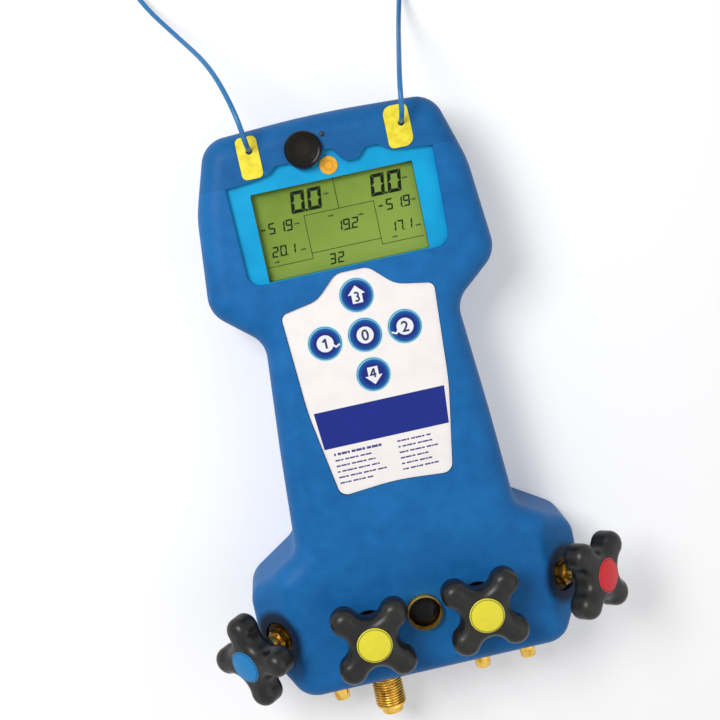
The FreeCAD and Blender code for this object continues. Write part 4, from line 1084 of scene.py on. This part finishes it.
def turnedMesh(name, profile, place=Matrix.Identity(4), closed=True):
    # a profile of (radius, height) turned round the Z axis; an open one starts and ends on the axis
    form = bmesh.new()
    points = [form.verts.new(mm(radius, 0, along)) for radius, along in profile]
    edges = [form.edges.new(pair) for pair in zip(points, points[1:])]
    if closed:
        edges.append(form.edges.new((points[-1], points[0])))
    bmesh.ops.spin(form, geom=points + edges, angle=math.tau, steps=turning["steps"],
                   cent=(0, 0, 0), axis=(0, 0, 1), use_merge=True, use_duplicate=False)
    bmesh.ops.remove_doubles(form, verts=form.verts, dist=turning["weld"])
    bmesh.ops.transform(form, matrix=place, verts=form.verts)
    return smoothed(meshFrom(form, name), turning["sharp"])


# Sight glass: a brass cup with the dark glass at its foot
sight = {
    "ring": [(5.5, 40.0), (6.95, 40.0), (6.95, 50.1), (8.8, 50.1), (8.8, 59.6), (8.5, 60.0),
             (8.3, 60.0), (8.1, 59.8), (8.1, 51.4), (5.5, 51.4)],
    "lens": [(0.0, 56.0), (2.0, 55.96), (4.0, 55.85), (6.0, 55.6), (7.5, 55.3), (8.05, 54.9),
             (8.05, 51.5), (0.0, 51.5)],
    "rim": (59.7 * millimetre, 59.9 * millimetre),
    "black": (0.002, 0.002, 0.002),
    "glint": (0.012, 0.012, 0.014),
    "glass": (0.002, 0.002, 0.003),
    "glintEnd": (3.0, 7.4),
}


def lensFinish():
    finish = Finish("sightLens", sight["glass"], Roughness=0.05, Specular_IOR_Level=0.08)
    reach = finish.apart(mm(0, 0, 0)) / millimetre
    share = reach.ramp(*sight["glintEnd"])
    finish.feed("Base Color", finish.mix(share, sight["glint"], sight["black"]))
    finish.feed("Roughness", finish.noise(200.0) * 0.06 + 0.02)
    return finish


cupBrass = brassFinish("brassCup", tone=1.15, dull=0.3, rim=sight["rim"])
addPiece("sightCup", turnedMesh("sightCup", sight["ring"]), "case", cupBrass, "brass", "sight_ring")
addPiece("sightGlass", turnedMesh("sightGlass", sight["lens"], closed=False), "case", lensFinish(),
         "sight_glass", "sight_lens")
print("sight glass finished")


# Hose ports with cut threads
ports = {
    "face": -28.45,
    "height": 26.0,
    "chamfer": 0.3,
    "undercut": 0.6,
    "threadRest": 0.5,
    "threadShares": (0.38, 0.58, 0.94),    # of a pitch: crest, crest's end, root
    "rootEdge": 0.35,
    "tipWider": 0.15,
    "tipNarrower": 0.25,
    "tipEdge": 0.5,
    "mouth": 0.4,
    # radii, then lengths from the face
    "small": {"bore": 2.2, "shank": 4.95, "collar": 6.8, "crest": 5.555, "root": 4.85,
              "neck": 4.45, "tip": 3.75,
              "sunk": 6.0, "collarEnd": 2.4, "threadEnd": 12.5, "end": 18.5, "pitch": 1.27},
    "large": {"bore": 2.8, "shank": 6.95, "collar": 9.0, "crest": 7.94, "root": 7.3,
              "neck": 5.95, "tip": 5.5,
              "sunk": 6.0, "collarEnd": 2.4, "threadEnd": 28.2, "end": 31.5, "pitch": 1.41},
}
portSpots = {
    "low": (-50.5, "small"), "vacuum": (-26.0, "large"),
    "charge": (26.0, "small"), "high": (50.5, "small"),
}


def portMesh(key):
    across, kind = portSpots[key]
    size = ports[kind]
    bore, shank, collar, crest, root, neck, tip = (
        size[name] for name in ("bore", "shank", "collar", "crest", "root", "neck", "tip"))
    sunk, collarEnd, threadEnd, end, pitch = (
        size[name] for name in ("sunk", "collarEnd", "threadEnd", "end", "pitch"))
    chamfer, edge = ports["chamfer"], ports["tipEdge"]
    start = collarEnd + ports["undercut"]
    profile = [(bore, -sunk), (shank, -sunk), (shank, 0.0),
               (collar - chamfer, 0.0), (collar, chamfer), (collar, collarEnd - chamfer),
               (collar - chamfer, collarEnd), (root, collarEnd), (root, start)]
    for step in range(int((threadEnd - ports["threadRest"] - start) / pitch)):
        low = start + step * pitch
        up, level, down = (low + pitch * share for share in ports["threadShares"])
        profile += [(crest, up), (crest, level), (root, down)]
    profile += [(root, threadEnd - ports["rootEdge"]), (neck, threadEnd),
                (tip + ports["tipWider"], end - edge), (tip - ports["tipNarrower"], end),
                (bore + ports["mouth"], end), (bore, end - edge)]
    middle = Matrix.Translation(mm(across, ports["face"], ports["height"]))
    return turnedMesh(f"port_{key}", profile, middle @ Matrix.Rotation(math.pi / 2, 4, "X"))


portBrass = brassFinish("brassPorts", axis=((0, 0, 0), (math.pi / 2, 0, 0)), lines=3000.0)
for key in portSpots:
    addPiece(f"hosePort_{key}", portMesh(key), "case", portBrass, "brass", f"{key}_port")
print("ports finished")


# Metal and parts inside and behind
inside = {
    "aluminium": linear(196, 198, 202),
    "steel": linear(176, 177, 180),
    "jacket": linear(42, 42, 46),
    "jacketBand": linear(190, 120, 52),
    "cellLength": 50.5,
    "bandEdge": (0.7, 0.72),    # shares of a cell's length
    "board": linear(16, 86, 48),
    "packing": (0.75, 0.74, 0.7),
    "packingPale": (0.78, 0.77, 0.73),
    "packingDeep": (0.6, 0.59, 0.55),
    "probe": linear(206, 207, 210),
}


def metalFinish(name, colour, roughness, scale):
    finish = Finish(name, colour, Metallic=1.0, Roughness=roughness)
    y = finish.axes()[1]
    streak = finish.noise(scale, 4.0)
    finish.feed("Base Color", finish.mix(streak, shade(colour, 0.82), colour))
    finish.feed("Roughness", roughness - 0.05 + streak * 0.14)
    finish.relief((y * math.tau * 1500.0).sine() * 0.4 + streak * 0.6, 0.12, 0.05)
    return finish


def jacketFinish():
    finish = Finish("cellJacket", inside["jacket"], Metallic=0.6, Roughness=0.3)
    y = finish.axes(mm(0, 100, 0))[1]
    band = (y / (inside["cellLength"] * millimetre)).fraction().ramp(*inside["bandEdge"])
    finish.feed("Base Color", finish.mix(band, inside["jacket"], inside["jacketBand"]))
    finish.feed("Roughness", finish.noise(400.0) * 0.2 + 0.2)
    return finish


def boardFinish():
    finish = Finish("boardMask", inside["board"], Roughness=0.35)
    tracks = finish.cells(420.0)
    plain = tracks.ramp(0.25, 0.3)
    finish.feed("Base Color", finish.mix(plain, shade(inside["board"], 1.6), inside["board"]))
    finish.relief(tracks, 0.2, 0.1)
    return finish


def screwFinish():
    finish = Finish("screwZinc", inside["steel"], Metallic=1.0, Roughness=0.3)
    stain = finish.noise(300.0, 4.0)
    z = finish.axes()[2]
    finish.feed("Base Color", finish.mix(stain, inside["steel"], shade(inside["steel"], 0.75)))
    finish.feed("Roughness", stain * 0.16 + 0.24)
    finish.relief((z * math.tau * 1800.0).sine() * 0.4 + stain * 0.6, 0.15, 0.06)
    return finish


def packingFinish():
    finish = Finish("packingRing", inside["packing"], Roughness=0.5)
    cloud = finish.noise(500.0)
    finish.feed("Base Color", finish.mix(cloud, inside["packingPale"], inside["packingDeep"]))
    return finish


paint(metalFinish("blockAluminium", inside["aluminium"], 0.32, 260.0), "valve_block")
paint(metalFinish("sensorSteel", inside["steel"], 0.26, 300.0),
      "pressure_sensor_low", "pressure_sensor_high")
paint(metalFinish("springSteel", inside["steel"], 0.3, 500.0), "battery_contacts")
paint(metalFinish("probeSteel", inside["probe"], 0.18, 200.0), "probe_left", "probe_right")
paint(jacketFinish(), "batteries")
paint(boardFinish(), "circuit_board")
paint(packingFinish(), "stem_packings")
print("inner parts finished")


# On the back: cross-head screws, and the finger ridges at the foot of the door
back = {
    "headRadius": 2.8,
    "headEdge": 0.2,
    "shankRadius": 1.5,
    "crossArm": 1.65,
    "crossHalf": 0.42,
    "crossDepth": 0.75,
    "screws": [
        # heights of the head's face, its seat and the tip, then the middles
        ((4.15, 5.35, 35.35), [(-56.0, 208.0), (56.0, 208.0), (-58.0, 182.0), (58.0, 182.0),
                               (-43.0, 50.0), (43.0, 50.0)]),
        ((2.05, 3.15, 10.05), [(0.0, 47.4), (0.0, 166.35)]),
    ],
    "screwSharp": 30,
    "ridgeCount": 6,
    "ridgePitch": 2.4,
    "ridgeMiddle": 60.0,
    "ridgeHalf": 11.5,
    "ridgeFoot": 0.75,
    "ridgeCrest": 0.4,
    "ridgeRise": 0.6,
    "ridgeRoot": 0.1,
}


def joinRings(form, rings):
    # quads between one ring of vertices and the next
    for low, high in zip(rings, rings[1:]):
        for index in range(len(low)):
            form.faces.new((low[index - 1], low[index], high[index], high[index - 1]))


def addScrew(form, middle, face, seat, tip):
    def ring(corners, height):
        return [form.verts.new(mm(middle[0] + x, middle[1] + y, height)) for x, y in corners]

    edge, radius = back["headEdge"], back["headRadius"]
    half, arm = back["crossHalf"], back["crossArm"]
    quarter = [(arm, -half), (arm, half), (half, half)]
    cross = []
    for turn in range(4):
        cross += quarter
        quarter = [(-y, x) for x, y in quarter]
    shank = back["shankRadius"]
    outer = [ring(discCorners(size), height) for size, height in (
        (radius - edge, face), (radius, face + edge), (radius, seat),
        (shank, seat), (shank, tip - edge), (shank - edge, tip))]
    rim = ring(cross, face)
    floor = ring(cross, face + back["crossDepth"])
    joinRings(form, outer)
    joinRings(form, [rim, floor])
    form.faces.new(outer[-1])
    form.faces.new(floor)
    around = [form.edges.get((loop[index - 1], loop[index]))
              for loop in (outer[0], rim) for index in range(len(loop))]
    bmesh.ops.triangle_fill(form, edges=around, use_beauty=True)


def screwMesh():
    form = bmesh.new()
    for heights, middles in back["screws"]:
        for middle in middles:
            addScrew(form, middle, *heights)
    return smoothed(meshFrom(form, "crossScrews"), back["screwSharp"])


def ridgeMesh():
    # each ridge is a bar whose sides lean in towards its crest
    form = bmesh.new()
    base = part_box("battery_door")[0].z / millimetre
    half, foot, crest = back["ridgeHalf"], back["ridgeFoot"], back["ridgeCrest"]
    for index in range(back["ridgeCount"]):
        y = back["ridgeMiddle"] + (index - (back["ridgeCount"] - 1) / 2) * back["ridgePitch"]
        rings = [[form.verts.new(mm(x, y + side, height)) for x, side in
                  ((-reach, -width), (reach, -width), (reach, width), (-reach, width))]
                 for reach, width, height in (
                     (half, foot, base + back["ridgeRoot"]), (half, foot, base),
                     (half - foot + crest, crest, base - back["ridgeRise"]))]
        joinRings(form, rings)
        form.faces.new(rings[0])
        form.faces.new(rings[-1])
    return meshFrom(form, "doorRidges")


addPiece("crossScrews", screwMesh(), "case", screwFinish(), "screw_steel", "housing_screws")
addPiece("doorRidges", ridgeMesh(), "case", shellPlastic, "housing_plastic")
print("back finished")
